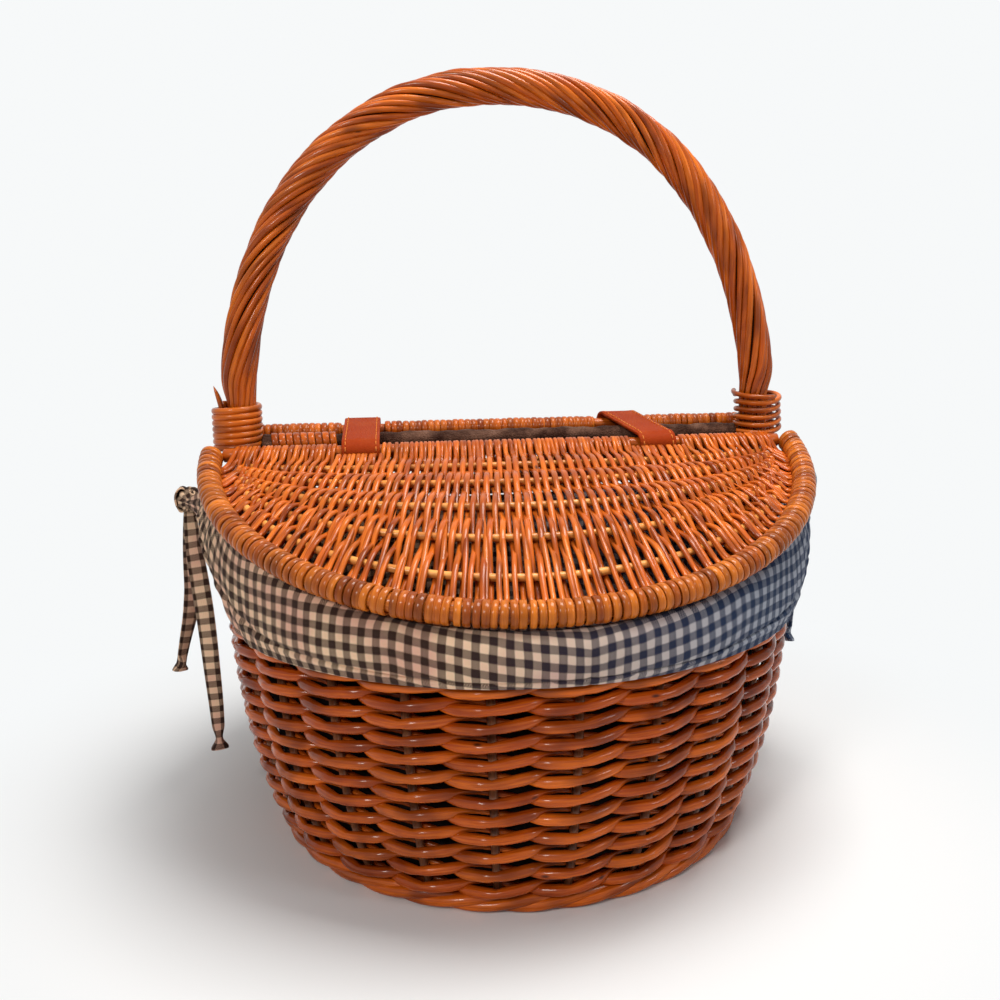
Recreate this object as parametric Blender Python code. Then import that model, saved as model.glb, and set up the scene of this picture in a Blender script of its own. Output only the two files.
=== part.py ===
"""Pie basket of varnished willow: round bowl body, tall twisted handle, two half-moon
lids hinged beside a centre bar by leather loops, and a gingham lining folded over the rim.

It stands on z = 0. The handle's arch lies in the XZ plane and the front is towards -Y.
"""

import math

import bmesh
import bpy
from mathutils import Matrix, Vector

# Clearances between touching pieces
GAP = 0.0003
RUNNING_GAP = 0.0006
STAKE_CLEARANCE = 0.0009
LEG_CLEARANCE = 0.0010

# Bowl-shaped side and base
BOWL_TOP_RADIUS = 0.1676
BOWL_FOOT_RADIUS = 0.1367
BOWL_HEIGHT = 0.1382
BOWL_ROUNDNESS = 1.86
WALL_THICKNESS = 0.007
BORDER_RADIUS = 0.0055
FOOT_RADIUS = 0.0052
FOOT_INSET = 0.004
BASE_THICKNESS = 0.008
STAKE_COUNT = 24
STAKE_FIRST_ANGLE = math.radians(6.0)
STAKE_RADIUS = 0.0022
STAKE_TOP_CLEARANCE = 0.003

# Handle, its bindings and the bar between its legs
HANDLE_INSET = 0.0108
HANDLE_SHOULDER_RISE = 0.0081
HANDLE_ARCH_RISE = 0.1986
HANDLE_RADIUS = 0.0103
HANDLE_SQUARENESS = 2.17
HANDLE_STRANDS = 8
STRAND_RELIEF_SHARE = 0.09
STRAND_TURNS = 2.6
LEG_BOUND_RADIUS = 0.00815
LEG_FOOT_RADIUS = 0.006
LEG_FOOT_HEIGHT = 0.070
LEG_FLARE_HEIGHT = 0.012
LEFT_BINDING_HEIGHT = 0.0287
RIGHT_BINDING_HEIGHT = 0.0281
BINDING_ROD_RADIUS = 0.0015
LEFT_BINDING_LOOPS = 7.5
RIGHT_BINDING_LOOPS = 6.5
ROD_END_RADIUS = 0.0026
ROD_END_RISE = 0.0093
ROD_END_LEAN = 0.0042
BAR_RADIUS = 0.0055

# Lids
HINGE_HEIGHT = 0.2150
REAR_HINGE_RISE = 0.0075
HINGE_ROD_RADIUS = 0.005
LID_SIDE_OVERHANG = 0.0074
LID_FRONT_INSET = 0.0041
LID_TILT = math.radians(21.0)
LID_RIM_RADIUS = 0.0065
LID_CORNER_OVERRUN = 0.002
LID_DOME = 0.013
PANEL_THICKNESS = 0.004
PANEL_END_WIDTH = 0.004
RIB_COUNT = 5
RIB_RADIUS = 0.002
RIB_END_ANGLE = math.radians(16.0)
RIB_END_STEP = math.radians(1.5)

# Leather hinge loops
STRAP_WIDTH = 0.0215
STRAP_THICKNESS = 0.0022
STRAP_SLACK = 0.0008
STRAP_SLOT_CLEARANCE = 0.0010
STRAP_SLOT_REACH = 0.0030
LEFT_STRAP_PLACE = -0.0850
RIGHT_STRAP_PLACE = 0.0799
RIGHT_STRAP_SKEW = 0.0057

# Lining
CLOTH_THICKNESS = 0.0018
BAG_CLEARANCE = 0.0010
BAG_THICKNESS = 0.0012
BAG_TOP = 0.130
HEM_HEIGHT = 0.1278
HEM_STAND_OFF = 0.0006
FLAP_SLIT_ANGLE = math.radians(10.0)
FLAP_GATHER_ANGLE = math.radians(35.0)
FLAP_INNER_DROP = 0.012
FLAP_BULGE = 0.0015
FLAP_SIDE_BULGE = 0.0075
FLAP_FOLD_DEPTH = 0.0022
FLAP_FOLD_COUNT = 15

# Ties
TIE_DROP = 0.028
TIE_STAND_OUT = 0.0194
TIE_KNOT_RADIUS = 0.007
TIE_ARM_HALF_HEIGHT = 0.013
TIE_ARM_DEPTH = 0.0035
TAIL_WIDTH = 0.009
TAIL_THICKNESS = 0.0012
TAIL_END_WIDTH = 0.012
TAIL_END_THICKNESS = 0.006
LONG_TAIL_DROP = 0.142
SHORT_TAIL_DROP = 0.098

# Facets
AROUND = 60
FOOT_AROUND = 40
RING_SIDES = 8
BINDING_POINTS = 24


def make_material(name, colour, roughness, coat=0.0):
    material = bpy.data.materials.new(name)
    material.use_nodes = True
    shader = material.node_tree.nodes["Principled BSDF"]
    shader.inputs["Base Color"].default_value = (*colour, 1.0)
    shader.inputs["Roughness"].default_value = roughness
    shader.inputs["Metallic"].default_value = 0.0
    shader.inputs["Coat Weight"].default_value = coat
    return material


def make_object(name, data, material):
    data.materials.append(material)
    piece = bpy.data.objects.new(name, data)
    bpy.context.scene.collection.objects.link(piece)
    return piece


def mark_as_guide(piece):
    piece.hide_render = True
    piece.display_type = "WIRE"


def mesh_from_rings(name, rings, material, run_closed=False):
    """Skin a run of closed rings with equal counts of points, capped unless the run is closed."""
    mesh = bmesh.new()
    grid = [[mesh.verts.new(point) for point in ring] for ring in rings]
    steps = len(grid) if run_closed else len(grid) - 1
    count = len(grid[0])
    for i in range(steps):
        this = grid[i]
        following = grid[(i + 1) % len(grid)]
        for j in range(count):
            k = (j + 1) % count
            mesh.faces.new((this[j], this[k], following[k], following[j]))
    if not run_closed:
        mesh.faces.new(grid[0])
        mesh.faces.new(grid[-1])
    bmesh.ops.recalc_face_normals(mesh, faces=mesh.faces)
    data = bpy.data.meshes.new(name)
    mesh.to_mesh(data)
    mesh.free()
    data.shade_smooth()
    data.set_sharp_from_angle(angle=math.radians(40.0))
    return make_object(name, data, material)


def make_rod(name, points, radius, material, sides=6, shares=None):
    """Round rod along a run of points; shares give its radius at each as a share of the whole."""
    curve = bpy.data.curves.new(name, "CURVE")
    curve.dimensions = "3D"
    curve.bevel_depth = radius
    curve.bevel_resolution = (sides - 4) // 2
    curve.use_fill_caps = True
    spline = curve.splines.new("POLY")
    spline.points.add(len(points) - 1)
    for i, point in enumerate(points):
        spline.points[i].co = (*point, 1.0)
        spline.points[i].radius = shares[i] if shares else 1.0
    return make_object(name, curve, material)


def smooth_step(value):
    value = min(max(value, 0.0), 1.0)
    return value * value * (3.0 - 2.0 * value)


def bowl_radius(height):
    """Outer radius of the woven side at a height."""
    share = min(max(height / BOWL_HEIGHT, 0.0), 1.0)
    growth = (1.0 - (1.0 - share) ** BOWL_ROUNDNESS) ** (1.0 / math.sqrt(BOWL_ROUNDNESS))
    return BOWL_FOOT_RADIUS + (BOWL_TOP_RADIUS - BOWL_FOOT_RADIUS) * growth


def around(radius, angle, height):
    """A point round the basket; angle 0 is the right end of the handle."""
    return Vector((radius * math.cos(angle), radius * math.sin(angle), height))


def level_ring(radius, height, count):
    return [around(radius, 2.0 * math.pi * i / count, height) for i in range(count)]


def border_ring(radius, angle, height, thickness):
    """Section of a round border; its lowest and highest facets are level."""
    ring = []
    for j in range(RING_SIDES):
        turn = math.pi * (2.0 * j + 1.0) / RING_SIDES
        out = thickness * math.cos(turn)
        up = thickness * math.sin(turn)
        ring.append(around(radius + out, angle, height + up))
    return ring


def rising_heights(bottom, top, steps):
    """Heights that lie closer together near the foot, where the bowl bends most."""
    return [bottom + (top - bottom) * (i / steps) ** 1.6 for i in range(steps + 1)]


def foot_top():
    return 2.0 * FOOT_RADIUS * math.cos(math.pi / RING_SIDES)


def handle_half_span():
    """Half of the distance between the handle's legs above the lids."""
    return BOWL_TOP_RADIUS - HANDLE_INSET


def handle_shoulder():
    return HINGE_HEIGHT + HANDLE_SHOULDER_RISE


def lid_half_width():
    return BOWL_TOP_RADIUS + LID_SIDE_OVERHANG


def tie_reach():
    return BOWL_TOP_RADIUS + TIE_STAND_OUT


def tie_height():
    return HINGE_HEIGHT - TIE_DROP


def binding_inner_radius():
    """Room inside a binding for the leg and the rod end beside it."""
    return LEG_BOUND_RADIUS + ROD_END_RADIUS + 2.0 * GAP


def binding_radius():
    return binding_inner_radius() + 2.0 * BINDING_ROD_RADIUS


def hinge_offset():
    """How far each lid's hinge axis lies from the handle's plane, to pass its bindings."""
    return binding_radius() + RUNNING_GAP + HINGE_ROD_RADIUS


def fold_radius():
    """Radius at which the cloth passes over the rim border, at its corners."""
    return (BORDER_RADIUS + GAP) / math.cos(math.pi / RING_SIDES)


class Lid:
    """Half-moon lid; side is -1 for the front lid and 1 for the rear one."""

    def __init__(self, name, side, rise, reach, tilt):
        self.name = name
        self.side = side
        self.axis_height = HINGE_HEIGHT + rise
        self.half_width = lid_half_width() - LID_RIM_RADIUS
        self.reach = reach
        self.tilt = tilt

    def place(self, x, out, lift=0.0):
        """World point at x, out from the hinge axis in the lid's plane, lifted square to it."""
        run = out * math.cos(self.tilt) + lift * math.sin(self.tilt)
        drop = out * math.sin(self.tilt) - lift * math.cos(self.tilt)
        return Vector((x, self.side * (hinge_offset() + run), self.axis_height - drop))

    def rim_point(self, angle):
        return self.place(self.half_width * math.cos(angle), self.reach * math.sin(angle))

    def inner_reach(self, x, inset):
        """Reach at x of the outline drawn in by an inset."""
        share = min(abs(x) / (self.half_width - inset), 1.0)
        return (self.reach - inset) * math.sqrt(1.0 - share * share)

    def dome(self, x, out):
        """Rise of the woven field over the plane of the rim."""
        inset = LID_RIM_RADIUS + GAP
        share = min(out / max(self.inner_reach(x, inset), inset), 1.0)
        return LID_DOME * 4.0 * share * (1.0 - share) * (1.0 - (x / lid_half_width()) ** 2)


def make_lids():
    """The rear lid's axis is higher, and its edge lands as far out and as low as the front one's."""
    run = BOWL_TOP_RADIUS - LID_FRONT_INSET - hinge_offset()
    front_reach = run / math.cos(LID_TILT)
    drop = front_reach * math.sin(LID_TILT) + REAR_HINGE_RISE
    front = Lid("front_lid", -1, 0.0, front_reach, LID_TILT)
    rear = Lid("rear_lid", 1, REAR_HINGE_RISE, math.hypot(run, drop), math.atan2(drop, run))
    return front, rear


def border_place(angle, lid):
    """Radius and height of the rim border's centre, as high as the closed lid allows."""
    cloth = fold_radius() + CLOTH_THICKNESS / math.cos(math.pi / RING_SIDES)
    spacing = LID_RIM_RADIUS + cloth + RUNNING_GAP
    radius = BOWL_TOP_RADIUS - WALL_THICKNESS / 2.0
    spot = around(radius, angle, 0.0)
    height = lid.axis_height - spacing
    for i in range(181):
        point = lid.rim_point(math.radians(i))
        apart = math.hypot(spot.x - point.x, abs(spot.y) - abs(point.y))
        if apart < spacing:
            height = min(height, point.z - math.sqrt(spacing ** 2 - apart ** 2))
    return radius, height


def build_base(willow):
    """Foot border that the basket stands on, and the woven base inside it."""
    middle = bowl_radius(foot_top()) - WALL_THICKNESS / 2.0 - FOOT_INSET
    turns = [2.0 * math.pi * i / FOOT_AROUND for i in range(FOOT_AROUND)]
    rings = [border_ring(middle, turn, foot_top() / 2.0, FOOT_RADIUS) for turn in turns]
    mesh_from_rings("foot_border", rings, willow, run_closed=True)
    edge = middle - FOOT_RADIUS - GAP
    disc = [level_ring(edge, height, FOOT_AROUND) for height in (0.0, BASE_THICKNESS)]
    mesh_from_rings("base_disc", disc, willow)


def build_side(willow, lid):
    """Woven side with its saddle-shaped top, and the rim border on it."""
    wall = []
    border = []
    bottom = foot_top() + GAP
    for i in range(AROUND):
        angle = 2.0 * math.pi * i / AROUND
        radius, height = border_place(angle, lid)
        heights = rising_heights(bottom, height - BORDER_RADIUS - GAP, 5)
        outer = [around(bowl_radius(z), angle, z) for z in heights]
        inner = [around(bowl_radius(z) - WALL_THICKNESS, angle, z) for z in reversed(heights)]
        wall.append(outer + inner)
        border.append(border_ring(radius, angle, height, BORDER_RADIUS))
    mesh_from_rings("side_weave", wall, willow, run_closed=True)
    mesh_from_rings("rim_border", border, willow, run_closed=True)


def build_stakes(willow, lid):
    """Upright stakes against the inside of the weave, standing on the foot border."""
    inset = WALL_THICKNESS + STAKE_CLEARANCE + STAKE_RADIUS
    foot = foot_top() + GAP
    for i in range(STAKE_COUNT):
        angle = STAKE_FIRST_ANGLE + 2.0 * math.pi * i / STAKE_COUNT
        top = border_place(angle, lid)[1] - BORDER_RADIUS - STAKE_TOP_CLEARANCE
        run = [around(bowl_radius(foot) - inset, angle, z) for z in (foot, foot + STAKE_RADIUS)]
        run += [around(bowl_radius(z) - inset, angle, z) for z in rising_heights(foot, top, 5)[1:]]
        make_rod(f"stake_{i + 1:02d}", run, STAKE_RADIUS, willow)


def leg_place(height, lid):
    """Half span of a handle leg where it runs down inside the basket."""
    border_inner = border_place(0.0, lid)[0] - BORDER_RADIUS - GAP
    wall_inner = bowl_radius(height) - WALL_THICKNESS - LEG_CLEARANCE
    return min(border_inner, wall_inner) - LEG_FOOT_RADIUS


def leg_run(lid):
    """Centre line and radii of one leg, from its foot to the top of its binding."""
    low = HINGE_HEIGHT - LEG_FOOT_RADIUS
    heights = [LEG_FOOT_HEIGHT + (low - LEG_FOOT_HEIGHT) * i / 4 for i in range(5)]
    points = [Vector((leg_place(z, lid), 0.0, z)) for z in heights]
    radii = [LEG_FOOT_RADIUS] * len(points)
    bound_x = handle_half_span() + LEG_BOUND_RADIUS + GAP - binding_inner_radius()
    for z in (HINGE_HEIGHT, HINGE_HEIGHT + LEFT_BINDING_HEIGHT):
        points.append(Vector((bound_x, 0.0, z)))
        radii.append(LEG_BOUND_RADIUS)
    return points, radii


def arch_run():
    """Centre line of half of the arch, from above a binding to the top."""
    start = LEFT_BINDING_HEIGHT + LEG_FLARE_HEIGHT - HANDLE_SHOULDER_RISE
    power = 2.0 / HANDLE_SQUARENESS
    first = math.asin((start / HANDLE_ARCH_RISE) ** (1.0 / power))
    steps = 15
    points = []
    for i in range(steps):
        angle = first + (math.pi / 2.0 - first) * i / steps
        x = handle_half_span() * math.cos(angle) ** power
        rise = HANDLE_ARCH_RISE * math.sin(angle) ** power
        points.append(Vector((x, 0.0, handle_shoulder() + rise)))
    points.append(Vector((0.0, 0.0, handle_shoulder() + HANDLE_ARCH_RISE)))
    return points


def strand_profile():
    """Lobed section of the twisted handle, one lobe for each strand."""
    curve = bpy.data.curves.new("handle_section", "CURVE")
    spline = curve.splines.new("POLY")
    count = 2 * HANDLE_STRANDS
    spline.points.add(count - 1)
    spline.use_cyclic_u = True
    for i, point in enumerate(spline.points):
        radius = 1.0 - STRAND_RELIEF_SHARE * (i % 2)
        angle = -2.0 * math.pi * i / count
        point.co = (radius * math.cos(angle), radius * math.sin(angle), 0.0, 1.0)
    profile = bpy.data.objects.new("handle_section", curve)
    bpy.context.scene.collection.objects.link(profile)
    mark_as_guide(profile)
    return profile


def build_handle(willow, lid):
    """Handle in one bent piece, with the twist of its strands."""
    points, radii = leg_run(lid)
    arch = arch_run()
    points += arch
    radii += [HANDLE_RADIUS] * len(arch)
    run = [Vector((-p.x, p.y, p.z)) for p in points] + points[-2::-1]
    sizes = radii + radii[-2::-1]
    lengths = [0.0]
    for a, b in zip(run, run[1:]):
        lengths.append(lengths[-1] + (b - a).length)
    curve = bpy.data.curves.new("handle", "CURVE")
    curve.dimensions = "3D"
    curve.bevel_mode = "OBJECT"
    curve.bevel_object = strand_profile()
    curve.use_fill_caps = True
    spline = curve.splines.new("POLY")
    spline.points.add(len(run) - 1)
    for i, point in enumerate(spline.points):
        point.co = (*run[i], 1.0)
        point.radius = sizes[i]
        point.tilt = 2.0 * math.pi * STRAND_TURNS * lengths[i] / lengths[-1]
    make_object("handle", curve, willow)


def build_binding(name, side, height, loops, willow):
    """One rod wound round a handle leg. Prints its least gap to its own next loop."""
    radius = binding_radius() - BINDING_ROD_RADIUS
    low = HINGE_HEIGHT + BINDING_ROD_RADIUS
    pitch = (height - 2.0 * BINDING_ROD_RADIUS) / loops
    count = round(loops * BINDING_POINTS)
    points = []
    for i in range(count + 1):
        turn = 2.0 * math.pi * i / BINDING_POINTS
        x = side * handle_half_span() + radius * math.cos(turn)
        points.append(Vector((x, radius * math.sin(turn), low + pitch * i / BINDING_POINTS)))
    first = (points[0] - points[1]).normalized() * 2.0 * BINDING_ROD_RADIUS
    last = (points[-1] - points[-2]).normalized() * 2.0 * BINDING_ROD_RADIUS
    points = [points[0] + first] + points + [points[-1] + last]
    apart = BINDING_POINTS // 2
    least = min((a - b).length for i, a in enumerate(points) for b in points[i + apart:])
    print(f"{name}: least gap to itself {1000.0 * (least - 2.0 * BINDING_ROD_RADIUS):.2f} mm")
    make_rod(name, points, BINDING_ROD_RADIUS, willow)


def build_rod_end(willow):
    """Pointed rod end that stands up beside the left leg, held by the binding."""
    x = -(handle_half_span() + binding_inner_radius() - GAP - ROD_END_RADIUS)
    top = HINGE_HEIGHT + LEFT_BINDING_HEIGHT
    run = [Vector((x, 0.0, HINGE_HEIGHT)), Vector((x, 0.0, top + GAP))]
    run.append(Vector((x - 0.6 * ROD_END_LEAN, 0.0, top + 0.5 * ROD_END_RISE)))
    run.append(Vector((x - ROD_END_LEAN, 0.0, top + ROD_END_RISE)))
    make_rod("left_rod_end", run, ROD_END_RADIUS, willow, shares=(1.0, 1.0, 0.9, 0.45))


def build_bar(willow):
    """Fixed centre bar between the handle's bindings."""
    half = handle_half_span() - binding_radius() - GAP
    height = HINGE_HEIGHT + REAR_HINGE_RISE / 2.0
    run = [Vector((-half, 0.0, height)), Vector((half, 0.0, height))]
    make_rod("centre_bar", run, BAR_RADIUS, willow, sides=RING_SIDES)


def strap_slot(lid, place, skew):
    """Rings of the cutter that lets a leather loop through a lid's weave beside its hinge rod."""
    outer = HINGE_ROD_RADIUS + STRAP_SLACK + STRAP_THICKNESS + STRAP_SLOT_CLEARANCE
    shift = -lid.side * skew
    lean = shift * outer / hinge_offset()
    ends = (place + shift - lean, place + shift + lean)
    half = STRAP_WIDTH / 2.0 + STRAP_SLOT_CLEARANCE
    reach = outer + STRAP_SLOT_REACH
    tall = LID_DOME + PANEL_THICKNESS
    rings = []
    for x in (min(ends) - half, max(ends) + half):
        corners = ((0.0, -tall), (reach, -tall), (reach, tall), (0.0, tall))
        rings.append([lid.place(x, out, lift) for out, lift in corners])
    return rings


def build_panel(lid, willow, straps):
    """Domed woven field of a lid, with a slot for each leather loop."""
    inset = LID_RIM_RADIUS + GAP
    start = HINGE_ROD_RADIUS + GAP
    end_share = (start + PANEL_END_WIDTH) / (lid.reach - inset)
    widest = (lid.half_width - inset) * math.sqrt(1.0 - end_share ** 2)
    columns = 22
    rows = 6
    rings = []
    for i in range(columns + 1):
        x = -widest * math.cos(math.pi * i / columns)
        limit = lid.inner_reach(x, inset)
        outs = [start + (limit - start) * j / rows for j in range(rows + 1)]
        upper = [lid.place(x, out, lid.dome(x, out) + PANEL_THICKNESS / 2.0) for out in outs]
        lower = [lid.place(x, out, lid.dome(x, out) - PANEL_THICKNESS / 2.0) for out in reversed(outs)]
        rings.append(upper + lower)
    panel = mesh_from_rings(f"{lid.name}_weave", rings, willow)
    for i, (place, skew) in enumerate(straps):
        cutter = mesh_from_rings(f"{lid.name}_slot_{i + 1}", strap_slot(lid, place, skew), willow)
        mark_as_guide(cutter)
        cut = panel.modifiers.new(f"slot_{i + 1}", "BOOLEAN")
        cut.operation = "DIFFERENCE"
        cut.solver = "EXACT"
        cut.object = cutter
    return panel


def build_ribs(lid, willow):
    """Curved ribs under the woven field, running together at the lid's corners."""
    under = PANEL_THICKNESS / 2.0 + RUNNING_GAP + RIB_RADIUS
    half = lid.half_width - LID_RIM_RADIUS - GAP - 2.0 * RIB_RADIUS
    pieces = []
    steps = 10
    for i in range(RIB_COUNT):
        middle = lid.reach * (i + 1) / (RIB_COUNT + 1)
        end = RIB_END_ANGLE + RIB_END_STEP * i
        run = []
        for j in range(steps + 1):
            turn = end + (math.pi - 2.0 * end) * j / steps
            x = -half * math.cos(turn)
            out = middle * math.sin(turn)
            run.append(lid.place(x, out, lid.dome(x, out) - under))
        pieces.append(make_rod(f"{lid.name}_rib_{i + 1}", run, RIB_RADIUS, willow))
    return pieces


def build_lid(lid, willow, straps):
    """Rim, hinge rod, woven field and ribs of one lid, carried by an empty on its hinge axis."""
    hinge = bpy.data.objects.new(f"{lid.name}_hinge", None)
    hinge.location = lid.place(0.0, 0.0)
    bpy.context.scene.collection.objects.link(hinge)
    steps = 32
    rim = [lid.place(-lid.half_width, -LID_CORNER_OVERRUN)]
    rim += [lid.rim_point(math.pi * (1.0 - i / steps)) for i in range(steps + 1)]
    rim.append(lid.place(lid.half_width, -LID_CORNER_OVERRUN))
    half = lid.half_width - LID_RIM_RADIUS - GAP
    rod = [lid.place(-half, 0.0), lid.place(half, 0.0)]
    pieces = build_ribs(lid, willow)
    pieces.append(build_panel(lid, willow, straps))
    pieces.append(make_rod(f"{lid.name}_rim", rim, LID_RIM_RADIUS, willow, sides=RING_SIDES))
    pieces.append(make_rod(f"{lid.name}_hinge_rod", rod, HINGE_ROD_RADIUS, willow, sides=RING_SIDES))
    for piece in pieces:
        piece.parent = hinge
        piece.matrix_parent_inverse = Matrix.Translation(-hinge.location)


def build_strap(name, place, skew, leather, front, rear):
    """Leather loop round both hinge rods and the centre bar, closed like a belt."""
    inner = HINGE_ROD_RADIUS + STRAP_SLACK
    outer = inner + STRAP_THICKNESS
    first = front.place(0.0, 0.0)
    last = rear.place(0.0, 0.0)
    lean = math.atan2(last.z - first.z, last.y - first.y)
    steps = 8
    rings = []
    for end, centre in enumerate((last, first)):
        for i in range(steps + 1):
            turn = lean + math.pi * (i / steps - 0.5 + end)
            ring = []
            for radius, side in ((inner, -1), (outer, -1), (outer, 1), (inner, 1)):
                y = centre.y + radius * math.cos(turn)
                x = place + side * STRAP_WIDTH / 2.0 - skew * y / hinge_offset()
                ring.append(Vector((x, y, centre.z + radius * math.sin(turn))))
            rings.append(ring)
    mesh_from_rings(name, rings, leather, run_closed=True)


def bag_radius(angle, height, lid):
    """Outer radius of the pouch, which lies on the stakes and passes inside the handle's legs."""
    room = WALL_THICKNESS + STAKE_CLEARANCE + 2.0 * STAKE_RADIUS + BAG_CLEARANCE
    on_stakes = bowl_radius(height) - room
    past_leg = leg_place(height, lid) - LEG_FOOT_RADIUS - BAG_CLEARANCE
    step = 2.0 * math.pi / AROUND
    from_side = math.atan2(abs(math.sin(angle)), abs(math.cos(angle)))
    beside = 1.0 - smooth_step((from_side - step) / step)
    level = smooth_step(2.0 * height / (LEG_FOOT_HEIGHT - BAG_CLEARANCE) - 1.0)
    return on_stakes + (min(past_leg, on_stakes) - on_stakes) * beside * level


def build_bag(cloth, lid):
    """Pouch of the lining, open at the top, lying on the base and against the stakes."""
    bottom = BASE_THICKNESS + GAP
    heights = rising_heights(bottom, LEG_FOOT_HEIGHT - BAG_CLEARANCE, 2) + [BAG_TOP]
    turns = [2.0 * math.pi * i / AROUND for i in range(AROUND)]
    outer = [[around(bag_radius(turn, z, lid), turn, z) for turn in turns] for z in heights]
    inner = []
    for z in reversed(heights):
        floor = max(z, bottom + BAG_THICKNESS)
        inner.append([around(bag_radius(turn, z, lid) - BAG_THICKNESS, turn, floor) for turn in turns])
    mesh_from_rings("liner_bag", outer + inner, cloth)


def flap_skirt(radius, height, side_share, fold_share):
    """Radius and height of points down the outside of a flap, from the border to the hem."""
    side_hem = tie_height() - TIE_ARM_HALF_HEIGHT
    hem = HEM_HEIGHT + (side_hem - HEM_HEIGHT) * side_share ** 3
    top = height - BORDER_RADIUS
    steps = 3
    points = []
    for i in range(steps + 1):
        share = i / steps
        z = top + (hem - top) * share
        wall = bowl_radius(z) + HEM_STAND_OFF
        proud = (radius + fold_radius() - wall) * (1.0 - share)
        bulge = FLAP_BULGE + (FLAP_SIDE_BULGE - FLAP_BULGE) * side_share
        belly = (bulge + FLAP_FOLD_DEPTH * side_share * fold_share) * math.sin(math.pi * share) ** 0.7
        points.append((wall + proud + belly, z))
    return points


def flap_section(angle, lid):
    """Section of a flap: up from the bag, over the rim border and down to the hem."""
    radius, height = border_place(angle, lid)
    from_side = math.atan2(abs(math.sin(angle)), abs(math.cos(angle)))
    side_share = 1.0 - smooth_step((from_side - FLAP_SLIT_ANGLE) / FLAP_GATHER_ANGLE)
    fold_share = math.cos(FLAP_FOLD_COUNT * 2.0 * (from_side - FLAP_SLIT_ANGLE))
    stakes = WALL_THICKNESS / 2.0 + STAKE_CLEARANCE + 2.0 * STAKE_RADIUS + 2.0 * GAP + CLOTH_THICKNESS
    inner = [(bag_radius(angle, BAG_TOP, lid), BAG_TOP + GAP), (radius - stakes, height - FLAP_INNER_DROP)]
    for i in range(5):
        turn = math.pi * (1.0 - i / 4)
        inner.append((radius + fold_radius() * math.cos(turn), height + fold_radius() * math.sin(turn)))
    inner += flap_skirt(radius, height, side_share, fold_share)
    outer = []
    for i, (r, z) in enumerate(inner):
        before = Vector(inner[max(i - 1, 0)])
        after = Vector(inner[min(i + 1, len(inner) - 1)])
        along = (after - before).normalized()
        outer.append((r - CLOTH_THICKNESS * along.y, z + CLOTH_THICKNESS * along.x))
    outer[0] = (inner[0][0] - CLOTH_THICKNESS, inner[0][1])
    outer[-1] = (inner[-1][0] + CLOTH_THICKNESS, inner[-1][1])
    return [around(r, angle, z) for r, z in inner + outer[::-1]]


def build_flap(name, side, lid, cloth):
    """Half of the lining's turned-over edge, between the two handle legs."""
    step = 2.0 * math.pi / AROUND
    fine = FLAP_SLIT_ANGLE + FLAP_GATHER_ANGLE / 2.0
    turns = [FLAP_SLIT_ANGLE]
    while turns[-1] < math.pi / 2.0 - step / 2.0:
        turns.append(turns[-1] + (step / 2.0 if turns[-1] < fine else step))
    turns[-1] = math.pi / 2.0
    turns += [math.pi - turn for turn in reversed(turns[:-1])]
    mesh_from_rings(name, [flap_section(side * turn, lid) for turn in turns], cloth)


def build_tie_knot(name, side, cloth):
    """Knot beside a handle leg, with arms that reach the gathered ends of both flaps."""
    reach = FLAP_SLIT_ANGLE - GAP / BOWL_TOP_RADIUS
    neck_share = 0.35
    knot_share = 0.24
    arm_place = BOWL_TOP_RADIUS + HEM_STAND_OFF + TIE_ARM_DEPTH + FLAP_BULGE
    rings = []
    for share in (-1.0, -0.7, -0.4, -0.22, -0.12, 0.0, 0.12, 0.22, 0.4, 0.7, 1.0):
        knot = math.sqrt(max(1.0 - (share / knot_share) ** 2, 0.0))
        fan = max(abs(share) - neck_share, 0.0) / (1.0 - neck_share)
        neck = neck_share * TIE_KNOT_RADIUS
        tall = neck + (TIE_KNOT_RADIUS - neck) * knot + (TIE_ARM_HALF_HEIGHT - neck) * fan
        deep = TIE_ARM_DEPTH + (TIE_KNOT_RADIUS - TIE_ARM_DEPTH) * knot
        middle = arm_place + (tie_reach() - arm_place) * (1.0 - smooth_step(abs(share)))
        angle = reach * share + (0.0 if side > 0 else math.pi)
        ring = []
        for j in range(RING_SIDES):
            turn = 2.0 * math.pi * j / RING_SIDES
            ring.append(around(middle + deep * math.cos(turn), angle, tie_height() + tall * math.sin(turn)))
        rings.append(ring)
    mesh_from_rings(name, rings, cloth)


def build_tail(name, side, drop, route_shares, turns, cloth):
    """Flat tie end hanging from a knot, finished in a small knot of its own.

    Its route gives, at even steps down, its way out from the knot and its way towards +Y,
    both as shares of the knot's radius.
    """
    top = tie_height() - TIE_KNOT_RADIUS - GAP
    last = len(route_shares) - 1
    rings = []
    for i, (out_share, rear_share) in enumerate(route_shares):
        x = side * (tie_reach() + TIE_KNOT_RADIUS * out_share)
        centre = Vector((x, TIE_KNOT_RADIUS * rear_share, top - drop * i / last))
        swell = 1.0 if i >= last - 1 else 0.0
        half_wide = (TAIL_WIDTH + (TAIL_END_WIDTH - TAIL_WIDTH) * swell) / 2.0
        half_thick = (TAIL_THICKNESS + (TAIL_END_THICKNESS - TAIL_THICKNESS) * swell) / 2.0
        wide = Vector((math.cos(turns[i]), math.sin(turns[i]), 0.0)) * half_wide
        thick = Vector((-math.sin(turns[i]), math.cos(turns[i]), 0.0)) * half_thick
        near = [centre - wide - thick, centre + wide - thick]
        far = [centre + wide + thick, centre - wide + thick]
        rings.append(near + far)
    mesh_from_rings(name, rings, cloth)


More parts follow.
